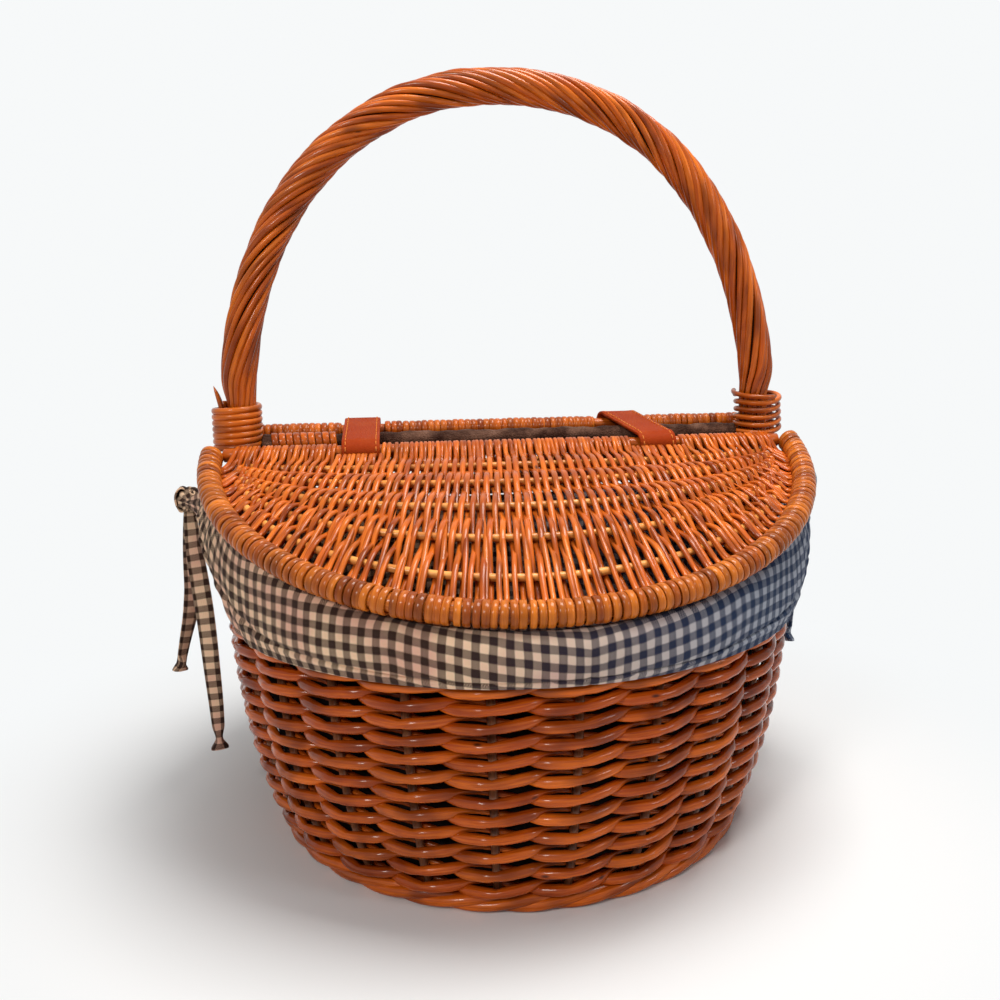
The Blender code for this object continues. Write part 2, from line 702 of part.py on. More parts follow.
def build_ties(cloth):
    """Knots and tie ends; the right-hand ends hang a little to the rear."""
    left_long_shares = ((-0.05, -0.25), (-0.2, -0.6), (-0.5, -0.9), (-0.8, -1.1), (-1.1, -1.4),
                        (-1.3, -1.6), (-1.45, -1.7), (-1.6, -1.7), (-1.7, -1.7), (-1.75, -1.7))
    left_short_shares = ((0.05, 0.25), (0.1, 0.5), (0.15, 0.7), (0.2, 0.8), (0.6, 0.8),
                         (1.2, 0.7), (1.7, 0.6))
    right_long_shares = ((-0.05, 0.25), (-0.2, 1.0), (-0.5, 1.8), (-0.8, 2.3), (-1.1, 2.7),
                         (-1.3, 2.9), (-1.45, 3.0), (-1.6, 3.0), (-1.7, 3.0), (-1.75, 3.0))
    right_short_shares = ((-0.05, -0.25), (-0.2, -0.2), (-0.4, 0.2), (-0.6, 0.5), (-0.7, 0.6),
                          (-0.8, 0.6), (-0.8, 0.6))
    long_turns = (0.2, 0.3, 0.4, 0.4, 0.3, 0.6, 0.9, 0.5, 0.3, 0.3)
    short_turns = (0.1, 0.2, 0.2, 0.1, 0.0, -0.1, -0.1)
    build_tie_knot("left_tie_knot", -1, cloth)
    build_tie_knot("right_tie_knot", 1, cloth)
    build_tail("left_tie_long_end", -1, LONG_TAIL_DROP, left_long_shares, long_turns, cloth)
    build_tail("left_tie_short_end", -1, SHORT_TAIL_DROP, left_short_shares, short_turns, cloth)
    build_tail("right_tie_long_end", 1, LONG_TAIL_DROP, right_long_shares, long_turns, cloth)
    build_tail("right_tie_short_end", 1, SHORT_TAIL_DROP, right_short_shares, short_turns, cloth)


def main():
    for piece in list(bpy.data.objects):
        bpy.data.objects.remove(piece, do_unlink=True)
    body_willow = make_material("body_willow", (0.33, 0.075, 0.014), 0.32, coat=0.4)
    lid_willow = make_material("lid_willow", (0.52, 0.16, 0.028), 0.34, coat=0.4)
    handle_willow = make_material("handle_willow", (0.42, 0.10, 0.018), 0.32, coat=0.4)
    bar_willow = make_material("bar_willow", (0.10, 0.032, 0.014), 0.5, coat=0.2)
    leather = make_material("hinge_leather", (0.33, 0.075, 0.022), 0.5)
    cloth = make_material("gingham_cloth", (0.42, 0.40, 0.42), 0.9)
    front, rear = make_lids()
    straps = ((LEFT_STRAP_PLACE, 0.0), (RIGHT_STRAP_PLACE, RIGHT_STRAP_SKEW))
    build_base(body_willow)
    build_side(body_willow, front)
    build_stakes(body_willow, front)
    build_handle(handle_willow, front)
    build_binding("left_binding", -1, LEFT_BINDING_HEIGHT, LEFT_BINDING_LOOPS, handle_willow)
    build_binding("right_binding", 1, RIGHT_BINDING_HEIGHT, RIGHT_BINDING_LOOPS, handle_willow)
    build_rod_end(handle_willow)
    build_bar(bar_willow)
    build_lid(front, lid_willow, straps)
    build_lid(rear, lid_willow, straps)
    for name, (place, skew) in zip(("left_hinge_strap", "right_hinge_strap"), straps):
        build_strap(name, place, skew, leather, front, rear)
    build_bag(cloth, front)
    build_flap("front_flap", -1, front, cloth)
    build_flap("rear_flap", 1, front, cloth)
    build_ties(cloth)


main()
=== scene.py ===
"""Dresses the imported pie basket: woven willow, twisted handle, leather loops and a gingham lining.

Every size is in metres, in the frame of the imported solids. The front of the basket is towards -Y.
"""

import logging
import math
from dataclasses import dataclass, field
from enum import Enum
from typing import Callable, Sequence

import bpy
import numpy as np
from mathutils import Matrix, Vector


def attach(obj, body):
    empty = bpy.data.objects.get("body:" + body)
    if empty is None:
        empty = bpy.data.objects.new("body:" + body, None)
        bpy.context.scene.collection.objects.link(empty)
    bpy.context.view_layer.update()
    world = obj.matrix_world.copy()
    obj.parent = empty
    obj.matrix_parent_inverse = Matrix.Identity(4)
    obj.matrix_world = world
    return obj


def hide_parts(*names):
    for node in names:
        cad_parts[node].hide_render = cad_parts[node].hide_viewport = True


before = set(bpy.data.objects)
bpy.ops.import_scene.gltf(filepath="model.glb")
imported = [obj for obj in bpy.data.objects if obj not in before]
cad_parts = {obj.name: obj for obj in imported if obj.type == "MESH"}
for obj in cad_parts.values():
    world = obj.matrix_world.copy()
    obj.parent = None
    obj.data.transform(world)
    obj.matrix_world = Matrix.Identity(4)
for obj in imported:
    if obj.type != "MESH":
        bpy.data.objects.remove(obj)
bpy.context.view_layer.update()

LOG = logging.getLogger("pie_basket")
Array = np.ndarray


class Body(Enum):
    """The moving bodies of the basket."""

    BASKET = "basket"
    FRONT_LID = "front_lid"
    REAR_LID = "rear_lid"


class Slot(Enum):
    """The record's material slots."""

    BODY = "body_willow"
    LID = "lid_willow"
    HANDLE = "handle_willow"
    BAR = "bar_willow"
    LEATHER = "hinge_leather"
    CLOTH = "gingham_cloth"


class Side(Enum):
    """Which way a lid or a flap lies from the handle's plane."""

    FRONT = -1
    REAR = 1


@dataclass(frozen=True)
class BasketSizes:
    """Driving sizes of the solids, repeated so that the dressing lies on them."""

    gap: float = 0.0003
    running_gap: float = 0.0006
    stake_clearance: float = 0.0009
    leg_clearance: float = 0.0010
    bowl_top_radius: float = 0.1676
    bowl_foot_radius: float = 0.1367
    bowl_height: float = 0.1382
    bowl_roundness: float = 1.86
    wall: float = 0.007
    border_radius: float = 0.0055
    foot_radius: float = 0.0052
    foot_inset: float = 0.004
    stake_count: int = 24
    stake_first_angle: float = math.radians(6.0)
    stake_radius: float = 0.0022
    base_thickness: float = 0.008
    handle_inset: float = 0.0108
    handle_shoulder_rise: float = 0.0081
    handle_arch_rise: float = 0.1986
    handle_radius: float = 0.0103
    handle_squareness: float = 2.17
    leg_bound_radius: float = 0.00815
    leg_foot_radius: float = 0.006
    leg_foot_height: float = 0.070
    leg_flare: float = 0.012
    left_binding_height: float = 0.0287
    right_binding_height: float = 0.0281
    binding_rod: float = 0.0015
    rod_end_radius: float = 0.0026
    rod_end_rise: float = 0.0093
    rod_end_lean: float = 0.0042
    bar_radius: float = 0.0055
    hinge_height: float = 0.2150
    rear_hinge_rise: float = 0.0075
    hinge_rod: float = 0.005
    lid_side_overhang: float = 0.0074
    lid_front_inset: float = 0.0041
    lid_tilt: float = math.radians(21.0)
    lid_rim: float = 0.0065
    lid_dome: float = 0.013
    panel: float = 0.004
    rib_count: int = 5
    rib_radius: float = 0.002
    rib_end_angle: float = math.radians(16.0)
    rib_end_step: float = math.radians(1.5)
    strap_width: float = 0.0215
    strap_thickness: float = 0.0022
    strap_slack: float = 0.0008
    left_strap_place: float = -0.0850
    right_strap_place: float = 0.0799
    right_strap_skew: float = 0.0057
    cloth: float = 0.0018
    bag_clearance: float = 0.0010
    bag_top: float = 0.130
    hem_height: float = 0.1278
    hem_stand_off: float = 0.0006
    slit_angle: float = math.radians(10.0)
    gather_angle: float = math.radians(35.0)
    inner_drop: float = 0.012
    bulge: float = 0.0015
    side_bulge: float = 0.0075
    tie_drop: float = 0.028
    tie_stand_out: float = 0.0194
    tie_knot: float = 0.007
    tie_arm_half_height: float = 0.013
    tie_arm_depth: float = 0.0035
    ring_sides: int = 8

    def bowl_radius(self, height: Array | float) -> Array | float:
        """Outer radius of the woven side.

        Args:
            height: Height or heights above the floor.

        Returns:
            The radius at each height.
        """
        share = np.clip(np.asarray(height) / self.bowl_height, 0.0, 1.0)
        growth = (1.0 - (1.0 - share) ** self.bowl_roundness) ** (1.0 / math.sqrt(self.bowl_roundness))
        return self.bowl_foot_radius + (self.bowl_top_radius - self.bowl_foot_radius) * growth

    @property
    def foot_top(self) -> float:
        """Height of the foot border."""
        return 2.0 * self.foot_radius * math.cos(math.pi / self.ring_sides)

    @property
    def half_span(self) -> float:
        """Half of the distance between the handle's legs."""
        return self.bowl_top_radius - self.handle_inset

    @property
    def shoulder(self) -> float:
        """Height at which the handle's arch starts."""
        return self.hinge_height + self.handle_shoulder_rise

    @property
    def lid_half_width(self) -> float:
        """Half of the width over a lid."""
        return self.bowl_top_radius + self.lid_side_overhang

    @property
    def tie_reach(self) -> float:
        """How far out the tie knots stand."""
        return self.bowl_top_radius + self.tie_stand_out

    @property
    def tie_height(self) -> float:
        """Height of the tie knots."""
        return self.hinge_height - self.tie_drop

    @property
    def binding_inner(self) -> float:
        """Radius of the room inside a binding."""
        return self.leg_bound_radius + self.rod_end_radius + 2.0 * self.gap

    @property
    def binding_outer(self) -> float:
        """Outer radius of a binding."""
        return self.binding_inner + 2.0 * self.binding_rod

    @property
    def hinge_offset(self) -> float:
        """How far each hinge axis lies from the handle's plane."""
        return self.binding_outer + self.running_gap + self.hinge_rod

    @property
    def fold_radius(self) -> float:
        """Radius at which the cloth passes over the rim border."""
        return (self.border_radius + self.gap) / math.cos(math.pi / self.ring_sides)


SIZES = BasketSizes()


def smooth_step(value: Array | float) -> Array | float:
    """Eased share between 0 and 1.

    Args:
        value: Share or shares, cut off to 0 and 1.

    Returns:
        The eased shares.
    """
    share = np.clip(value, 0.0, 1.0)
    return share * share * (3.0 - 2.0 * share)


def unit(vectors: Array) -> Array:
    """Vectors scaled to length 1.

    Args:
        vectors: Rows of vectors.

    Returns:
        The unit vectors.
    """
    return vectors / np.maximum(np.linalg.norm(vectors, axis=-1, keepdims=True), 1e-12)


def around(radius: Array, angle: Array, height: Array) -> Array:
    """Points round the basket's axis; angle 0 is the right end of the handle.

    Args:
        radius: Distances from the axis.
        angle: Angles in radians.
        height: Heights.

    Returns:
        Rows of points.
    """
    radius, angle, height = np.broadcast_arrays(radius, angle, height)
    return np.stack([radius * np.cos(angle), radius * np.sin(angle), height], axis=-1)


def run_lengths(points: Array, closed: bool = False) -> Array:
    """Length along a run at each of its points.

    Args:
        points: Rows of points.
        closed: Whether the run returns to its start.

    Returns:
        The lengths, with one more at the end for a closed run.
    """
    line = np.vstack([points, points[:1]]) if closed else points
    steps = np.linalg.norm(np.diff(line, axis=0), axis=1)
    return np.concatenate([[0.0], np.cumsum(steps)])


def resample(points: Array, count: int) -> Array:
    """Points at even steps along a run.

    Args:
        points: Rows of points.
        count: How many points to return.

    Returns:
        Rows of points.
    """
    lengths = run_lengths(points)
    wanted = np.linspace(0.0, lengths[-1], count)
    return np.stack([np.interp(wanted, lengths, points[:, k]) for k in range(3)], axis=1)


@dataclass
class MeshParts:
    """Gathers swept rods and sheets into one mesh with a UV map in metres and a tone for each rod."""

    seed: int = 1
    verts: list[Array] = field(default_factory=list)
    faces: list[Array] = field(default_factory=list)
    uvs: list[Array] = field(default_factory=list)
    tones: list[Array] = field(default_factory=list)
    count: int = 0

    def __post_init__(self) -> None:
        """Start the seeded random source."""
        self.random = np.random.default_rng(self.seed)

    def add_grid(self, grid: Array, u: Array, v: Array, tone: float, closed: bool, ring: bool = True) -> Array:
        """Add a grid of points as quads.

        Args:
            grid: Points, as runs by ring places by 3.
            u: UV lengths along the run, one more than the runs if it is closed.
            v: UV lengths round the ring, one more than the places if it is a ring.
            tone: The rod's own shade, 0 to 1.
            closed: Whether the run closes on itself.
            ring: Whether each row of points is a closed ring.

        Returns:
            The points' numbers, in the grid's own layout.
        """
        runs, places = grid.shape[:2]
        index = np.arange(runs * places).reshape(runs, places) + self.count
        steps = np.arange(runs if closed else runs - 1)
        turns = np.arange(places if ring else places - 1)
        i, j = (a.ravel() for a in np.meshgrid(steps, turns, indexing="ij"))
        p, q = (i + 1) % runs, (j + 1) % places
        self.faces.append(np.stack([index[i, j], index[p, j], index[p, q], index[i, q]], axis=1))
        corners = [(u[i], v[j]), (u[i + 1], v[j]), (u[i + 1], v[j + 1]), (u[i], v[j + 1])]
        self.uvs.append(np.stack([np.stack(c, axis=1) for c in corners], axis=1).reshape(-1, 2))
        self.verts.append(grid.reshape(-1, 3))
        self.tones.append(np.full(runs * places, tone))
        self.count += runs * places
        return index

    def add_cap(self, ring: Array, tip: Array, tone: float, flip: bool) -> None:
        """Close the end of a rod with a shallow cone.

        Args:
            ring: Numbers of the last ring's points.
            tip: The cone's point.
            tone: The rod's own shade.
            flip: Whether the faces turn the other way.
        """
        after = np.roll(ring, -1)
        order = [ring, after] if flip else [after, ring]
        top = np.full(len(ring), self.count)
        self.verts.append(tip[None, :])
        self.tones.append(np.full(1, tone))
        self.faces.append(np.stack([*order, top, top], axis=1))
        self.uvs.append(np.zeros((len(ring) * 4, 2)))
        self.count += 1

    def add_rod(
        self,
        points: Array,
        outward: Array,
        wide: Array | float,
        deep: Array | float,
        sides: int = 8,
        closed: bool = False,
        squareness: float = 1.0,
        tone: float | None = None,
    ) -> None:
        """Sweep an oval section along a run.

        Args:
            points: The run's points.
            outward: One direction, or one for each point, that the depth is measured along.
            wide: Half width, for all points or for each.
            deep: Half depth, for all points or for each.
            sides: Points round the section.
            closed: Whether the run closes on itself.
            squareness: Power on the section's cosine and sine; below 1 is boxier.
            tone: The rod's own shade; a seeded one if none is given.
        """
        if closed:
            ahead, behind = np.roll(points, -1, axis=0), np.roll(points, 1, axis=0)
            tangent = unit(ahead - behind)
        else:
            tangent = unit(np.gradient(points, axis=0))
        outward = np.broadcast_to(outward, points.shape)
        across = unit(np.cross(tangent, outward))
        out = np.cross(across, tangent)
        wide = np.broadcast_to(wide, len(points))[:, None, None]
        deep = np.broadcast_to(deep, len(points))[:, None, None]
        turn = 2.0 * math.pi * (np.arange(sides) + 0.5) / sides
        a = np.sign(np.cos(turn)) * np.abs(np.cos(turn)) ** squareness
        b = np.sign(np.sin(turn)) * np.abs(np.sin(turn)) ** squareness
        grid = points[:, None, :] + across[:, None, :] * wide * a[None, :, None] + out[:, None, :] * deep * b[None, :, None]
        shade = self.random.random() if tone is None else tone
        u = run_lengths(points, closed) + 40.0 * shade
        girth = math.pi * (float(wide.max()) + float(deep.max()))
        v = np.linspace(0.0, girth, sides + 1)
        index = self.add_grid(grid, u, v, shade, closed)
        if not closed:
            self.add_cap(index[0], points[0] - tangent[0] * float(deep.flat[0]) * 0.5, shade, flip=True)
            self.add_cap(index[-1], points[-1] + tangent[-1] * float(deep.flat[-1]) * 0.5, shade, flip=False)

    def build(self, name: str, material: bpy.types.Material) -> bpy.types.Object:
        """Make the object.

        Args:
            name: The piece's name.
            material: Its material.

        Returns:
            The new object.
        """
        mesh = bpy.data.meshes.new(name)
        faces = np.concatenate(self.faces)
        lists = [list(dict.fromkeys(face)) for face in faces.tolist()]
        mesh.from_pydata(np.concatenate(self.verts).tolist(), [], lists)
        keep = np.ones(len(faces) * 4, dtype=bool)
        thirds = np.array([len(face) == 3 for face in lists])
        keep[np.nonzero(thirds)[0] * 4 + 3] = False
        layer = mesh.uv_layers.new(name="length_and_girth")
        layer.data.foreach_set("uv", np.concatenate(self.uvs)[keep].astype(np.float32).ravel())
        tone = mesh.attributes.new("tone", "FLOAT", "POINT")
        tone.data.foreach_set("value", np.concatenate(self.tones).astype(np.float32))
        mesh.shade_smooth()
        mesh.materials.append(material)
        piece = bpy.data.objects.new(name, mesh)
        bpy.context.scene.collection.objects.link(piece)
        return piece


def settle(piece: bpy.types.Object, body: Body, slot: Slot, *nodes: str) -> bpy.types.Object:
    """Let a finished piece ride and stand for its solids.

    Args:
        piece: The finished piece.
        body: The body that it moves with.
        slot: The record's material slot; not used.
        nodes: The solids that it stands for.

    Returns:
        The piece.
    """
    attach(piece, body.value)
    if nodes:
        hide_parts(*nodes)
    LOG.info("%s rides on %s", piece.name, body.value)
    return piece


@dataclass(frozen=True)
class NodeWriter:
    """Short forms for laying out nodes in a tree."""

    tree: bpy.types.NodeTree

    def add(self, kind: str, settings: dict | None = None, **inputs: object) -> bpy.types.Node:
        """Add a node and fill its inputs.

        Args:
            kind: The node's type.
            settings: Attributes to set on it.
            inputs: Input values or sockets, by input name with _ for a blank.

        Returns:
            The node.
        """
        node = self.tree.nodes.new(kind)
        for name, value in (settings or {}).items():
            setattr(node, name, value)
        for name, value in inputs.items():
            self.feed(node.inputs[name.replace("_", " ")], value)
        return node

    def feed(self, socket: bpy.types.NodeSocket, value: object) -> None:
        """Link or set one input.

        Args:
            socket: The input.
            value: A socket to link from, or a plain value.
        """
        if isinstance(value, bpy.types.NodeSocket):
            self.tree.links.new(value, socket)
        else:
            socket.default_value = value

    def math(self, operation: str, *values: object) -> bpy.types.NodeSocket:
        """Add a Math node.

        Args:
            operation: Its operation.
            values: Its inputs in order.

        Returns:
            Its output.
        """
        node = self.tree.nodes.new("ShaderNodeMath")
        node.operation = operation
        for socket, value in zip(node.inputs, values):
            self.feed(socket, value)
        return node.outputs[0]

    def mix(self, factor: object, first: object, second: object, blend: str = "MIX") -> bpy.types.NodeSocket:
        """Mix two colours.

        Args:
            factor: Share of the second.
            first: First colour or socket.
            second: Second colour or socket.
            blend: Blend type.

        Returns:
            The mixed colour.
        """
        node = self.tree.nodes.new("ShaderNodeMix")
        node.data_type = "RGBA"
        node.blend_type = blend
        self.feed(node.inputs[0], factor)
        self.feed(node.inputs[6], first)
        self.feed(node.inputs[7], second)
        return node.outputs[2]

    def ramp(self, value: object, low: float, high: float) -> bpy.types.NodeSocket:
        """Spread the values between two limits over 0 to 1.

        Args:
            value: The input.
            low: Value that becomes 0.
            high: Value that becomes 1.

        Returns:
            The spread value.
        """
        node = self.tree.nodes.new("ShaderNodeMapRange")
        node.interpolation_type = "SMOOTHSTEP"
        for socket, given in zip(node.inputs, (value, low, high, 0.0, 1.0)):
            self.feed(socket, given)
        return node.outputs[0]


Sockets = Sequence[tuple[str, str, object]]


def new_group(name: str, inputs: Sockets, outputs: Sockets) -> tuple[bpy.types.NodeTree, NodeWriter, bpy.types.Node]:
    """Start a shader node group.

    Args:
        name: The group's name.
        inputs: Names, socket types and default values.
        outputs: Names and socket types; the third item is unused.

    Returns:
        The group, a writer for it and its input node.
    """
    tree = bpy.data.node_groups.new(name, "ShaderNodeTree")
    for label, kind, value in inputs:
        socket = tree.interface.new_socket(label, in_out="INPUT", socket_type=kind)
        if value is not None:
            socket.default_value = value
    for label, kind, _ in outputs:
        tree.interface.new_socket(label, in_out="OUTPUT", socket_type=kind)
    return tree, NodeWriter(tree), tree.nodes.new("NodeGroupInput")


FLOAT = "NodeSocketFloat"
COLOUR = "NodeSocketColor"
VECTOR = "NodeSocketVector"


def make_grain_group() -> bpy.types.NodeTree:
    """Grain of a peeled willow rod: long streaks, small knots and its own shade.

    Returns:
        The node group.
    """
    inputs = [
        ("Dark", COLOUR, (0.1, 0.02, 0.005, 1.0)),
        ("Middle", COLOUR, (0.4, 0.1, 0.02, 1.0)),
        ("Light", COLOUR, (0.6, 0.25, 0.06, 1.0)),
        ("Knots", FLOAT, 0.5),
    ]
    outputs = [("Colour", COLOUR, None), ("Height", FLOAT, None), ("Streak", FLOAT, None)]
    tree, w, given = new_group("willow grain", inputs, outputs)
    uv = w.add("ShaderNodeUVMap", {"uv_map": "length_and_girth"}).outputs[0]
    tone = w.add("ShaderNodeAttribute", {"attribute_name": "tone"}).outputs["Fac"]
    long_uv = w.add("ShaderNodeVectorMath", {"operation": "MULTIPLY"})
    w.feed(long_uv.inputs[0], uv)
    w.feed(long_uv.inputs[1], (45.0, 900.0, 1.0))
    streak = w.add("ShaderNodeTexNoise", Vector=long_uv.outputs[0], Scale=1.0, Detail=3.0, Roughness=0.6)
    blotch_uv = w.add("ShaderNodeVectorMath", {"operation": "MULTIPLY"})
    w.feed(blotch_uv.inputs[0], uv)
    w.feed(blotch_uv.inputs[1], (30.0, 60.0, 1.0))
    blotch = w.add("ShaderNodeTexNoise", Vector=blotch_uv.outputs[0], Scale=1.0, Detail=2.0)
    knot_uv = w.add("ShaderNodeVectorMath", {"operation": "MULTIPLY"})
    w.feed(knot_uv.inputs[0], uv)
    w.feed(knot_uv.inputs[1], (55.0, 120.0, 1.0))
    cell = w.add("ShaderNodeTexVoronoi", {"feature": "F1"}, Vector=knot_uv.outputs[0], Scale=1.0)
    rare = w.math("GREATER_THAN", w.add("ShaderNodeSeparateColor", Color=cell.outputs["Color"]).outputs[0], 0.80)
    spot = w.math("MULTIPLY", w.math("SUBTRACT", 1.0, w.ramp(cell.outputs["Distance"], 0.04, 0.16)), rare)
    knot = w.math("MULTIPLY", spot, given.outputs["Knots"])
    light_share = w.math("ADD", w.math("MULTIPLY", tone, 0.45), w.math("MULTIPLY", w.ramp(streak.outputs["Fac"], 0.3, 0.75), 0.45))
    base = w.mix(w.math("SUBTRACT", light_share, 0.12), given.outputs["Middle"], given.outputs["Light"])
    dark_share = w.math("MULTIPLY", w.math("SUBTRACT", 1.0, w.ramp(blotch.outputs["Fac"], 0.30, 0.62)), 0.75)
    shaded = w.mix(dark_share, base, given.outputs["Dark"])
    knotted = w.mix(knot, shaded, (0.02, 0.006, 0.003, 1.0))
    height = w.math("SUBTRACT", w.math("MULTIPLY", streak.outputs["Fac"], 0.6), knot)
    out = tree.nodes.new("NodeGroupOutput")
    w.feed(out.inputs["Colour"], knotted)
    w.feed(out.inputs["Height"], height)
    w.feed(out.inputs["Streak"], streak.outputs["Fac"])
    return tree


def make_varnish_group() -> bpy.types.NodeTree:
    """Varnish that pools and dulls: roughness and coat over a surface.

    Returns:
        The node group.
    """
    inputs = [("Gloss", FLOAT, 0.3), ("Spread", FLOAT, 0.15), ("Streak", FLOAT, 0.5)]
    outputs = [("Roughness", FLOAT, None), ("Coat", FLOAT, None)]
    tree, w, given = new_group("varnish", inputs, outputs)
    place = w.add("ShaderNodeTexCoord").outputs["Object"]
    pool = w.add("ShaderNodeTexNoise", Vector=place, Scale=55.0, Detail=2.0)
    wave = w.math("SUBTRACT", w.math("ADD", pool.outputs["Fac"], w.math("MULTIPLY", given.outputs["Streak"], 0.5)), 0.75)
    rough = w.math("ADD", given.outputs["Gloss"], w.math("MULTIPLY", wave, given.outputs["Spread"]))
    coat = w.math("SUBTRACT", 0.20, w.math("MULTIPLY", w.ramp(pool.outputs["Fac"], 0.50, 0.75), 0.14))
    out = tree.nodes.new("NodeGroupOutput")
    w.feed(out.inputs["Roughness"], rough)
    w.feed(out.inputs["Coat"], coat)
    return tree


def make_weave_group() -> bpy.types.NodeTree:
    """Gingham: two crossing bands of dyed threads, with the threads' own hatch.

    Returns:
        The node group.
    """
    inputs = [
        ("Pale", COLOUR, (0.9, 0.86, 0.8, 1.0)),
        ("Dyed", COLOUR, (0.05, 0.07, 0.12, 1.0)),
        ("Check", FLOAT, 0.0038),
        ("Thread", FLOAT, 0.0005),
    ]
    outputs = [("Colour", COLOUR, None), ("Height", FLOAT, None)]
    tree, w, given = new_group("gingham weave", inputs, outputs)
    uv = w.add("ShaderNodeUVMap", {"uv_map": "length_and_girth"}).outputs[0]
    wander = w.add("ShaderNodeTexNoise", Vector=uv, Scale=90.0, Detail=1.0)
    split = w.add("ShaderNodeSeparateXYZ", Vector=uv)
    drift = w.math("MULTIPLY", w.math("SUBTRACT", wander.outputs["Fac"], 0.5), 0.0012)
    bands = []
    waves = []
    for axis in (0, 1):
        place = w.math("ADD", split.outputs[axis], drift)
        phase = w.math("FRACT", w.math("DIVIDE", place, w.math("MULTIPLY", given.outputs["Check"], 2.0)))
        rising = w.ramp(phase, 0.0, 0.035)
        bands.append(w.math("MULTIPLY", rising, w.math("SUBTRACT", 1.0, w.ramp(phase, 0.5, 0.535))))
        turn = w.math("MULTIPLY", w.math("DIVIDE", place, given.outputs["Thread"]), 2.0 * math.pi)
        waves.append(w.math("SINE", turn))
    over = w.math("GREATER_THAN", w.math("MULTIPLY", waves[0], waves[1]), 0.0)
    dyed_share = w.math("ADD", w.math("MULTIPLY", bands[0], over), w.math("MULTIPLY", bands[1], w.math("SUBTRACT", 1.0, over)))
    fibre = w.add("ShaderNodeTexNoise", Vector=uv, Scale=2600.0, Detail=2.0)
    pale = w.mix(w.math("MULTIPLY", fibre.outputs["Fac"], 0.22), given.outputs["Pale"], (0.50, 0.42, 0.36, 1.0))
    crossed = w.math("MAXIMUM", bands[0], bands[1])
    shaded = w.mix(w.math("MULTIPLY", crossed, 0.42), pale, given.outputs["Dyed"])
    colour = w.mix(dyed_share, shaded, given.outputs["Dyed"])
    height = w.math("ADD", w.math("MULTIPLY", w.math("ABSOLUTE", w.math("MULTIPLY", waves[0], waves[1])), 0.7), w.math("MULTIPLY", fibre.outputs["Fac"], 0.3))
    out = tree.nodes.new("NodeGroupOutput")
    w.feed(out.inputs["Colour"], colour)
    w.feed(out.inputs["Height"], height)
    return tree


def make_wear_group() -> bpy.types.NodeTree:
    """Scuffs and soft dust on leather and bark.

    Returns:
        The node group.
    """
    inputs = [("Colour", COLOUR, (0.3, 0.1, 0.03, 1.0)), ("Worn", COLOUR, (0.5, 0.25, 0.12, 1.0)), ("Scale", FLOAT, 400.0), ("Amount", FLOAT, 0.4)]
    outputs = [("Colour", COLOUR, None), ("Height", FLOAT, None)]
    tree, w, given = new_group("scuffs", inputs, outputs)
    place = w.add("ShaderNodeTexCoord").outputs["Object"]
    broad = w.add("ShaderNodeTexNoise", Vector=place, Scale=70.0, Detail=4.0)
    fine = w.add("ShaderNodeTexNoise", Vector=place, Scale=given.outputs["Scale"], Detail=3.0)
    cells = w.add("ShaderNodeTexVoronoi", {"feature": "DISTANCE_TO_EDGE"}, Vector=place, Scale=w.math("MULTIPLY", given.outputs["Scale"], 2.5))
    share = w.math("MULTIPLY", w.ramp(broad.outputs["Fac"], 0.42, 0.7), given.outputs["Amount"])
    speck = w.math("MULTIPLY", w.ramp(fine.outputs["Fac"], 0.35, 0.7), 0.25)
    colour = w.mix(w.math("ADD", share, w.math("MULTIPLY", speck, given.outputs["Amount"])), given.outputs["Colour"], given.outputs["Worn"])
    height = w.math("ADD", w.math("MULTIPLY", w.ramp(cells.outputs["Distance"], 0.0, 0.25), 0.6), w.math("MULTIPLY", fine.outputs["Fac"], 0.4))
    out = tree.nodes.new("NodeGroupOutput")
    w.feed(out.inputs["Colour"], colour)
    w.feed(out.inputs["Height"], height)
    return tree


Rgb = tuple[float, float, float]


def start_material(name: str) -> tuple[bpy.types.Material, NodeWriter, bpy.types.Node]:
    """A new material with its Principled shader.

    Args:
        name: The material's name.

    Returns:
        The material, a writer for its nodes and the shader.
    """
    material = bpy.data.materials.new(name)
    material.use_nodes = True
    return material, NodeWriter(material.node_tree), material.node_tree.nodes["Principled BSDF"]


@dataclass(frozen=True)
class GroupSet:
    """The node groups that the finishes share."""

    grain: bpy.types.NodeTree
    varnish: bpy.types.NodeTree
    weave: bpy.types.NodeTree
    scuffs: bpy.types.NodeTree

    @classmethod
    def build(cls) -> "GroupSet":
        """Make each group once."""
        return cls(make_grain_group(), make_varnish_group(), make_weave_group(), make_wear_group())


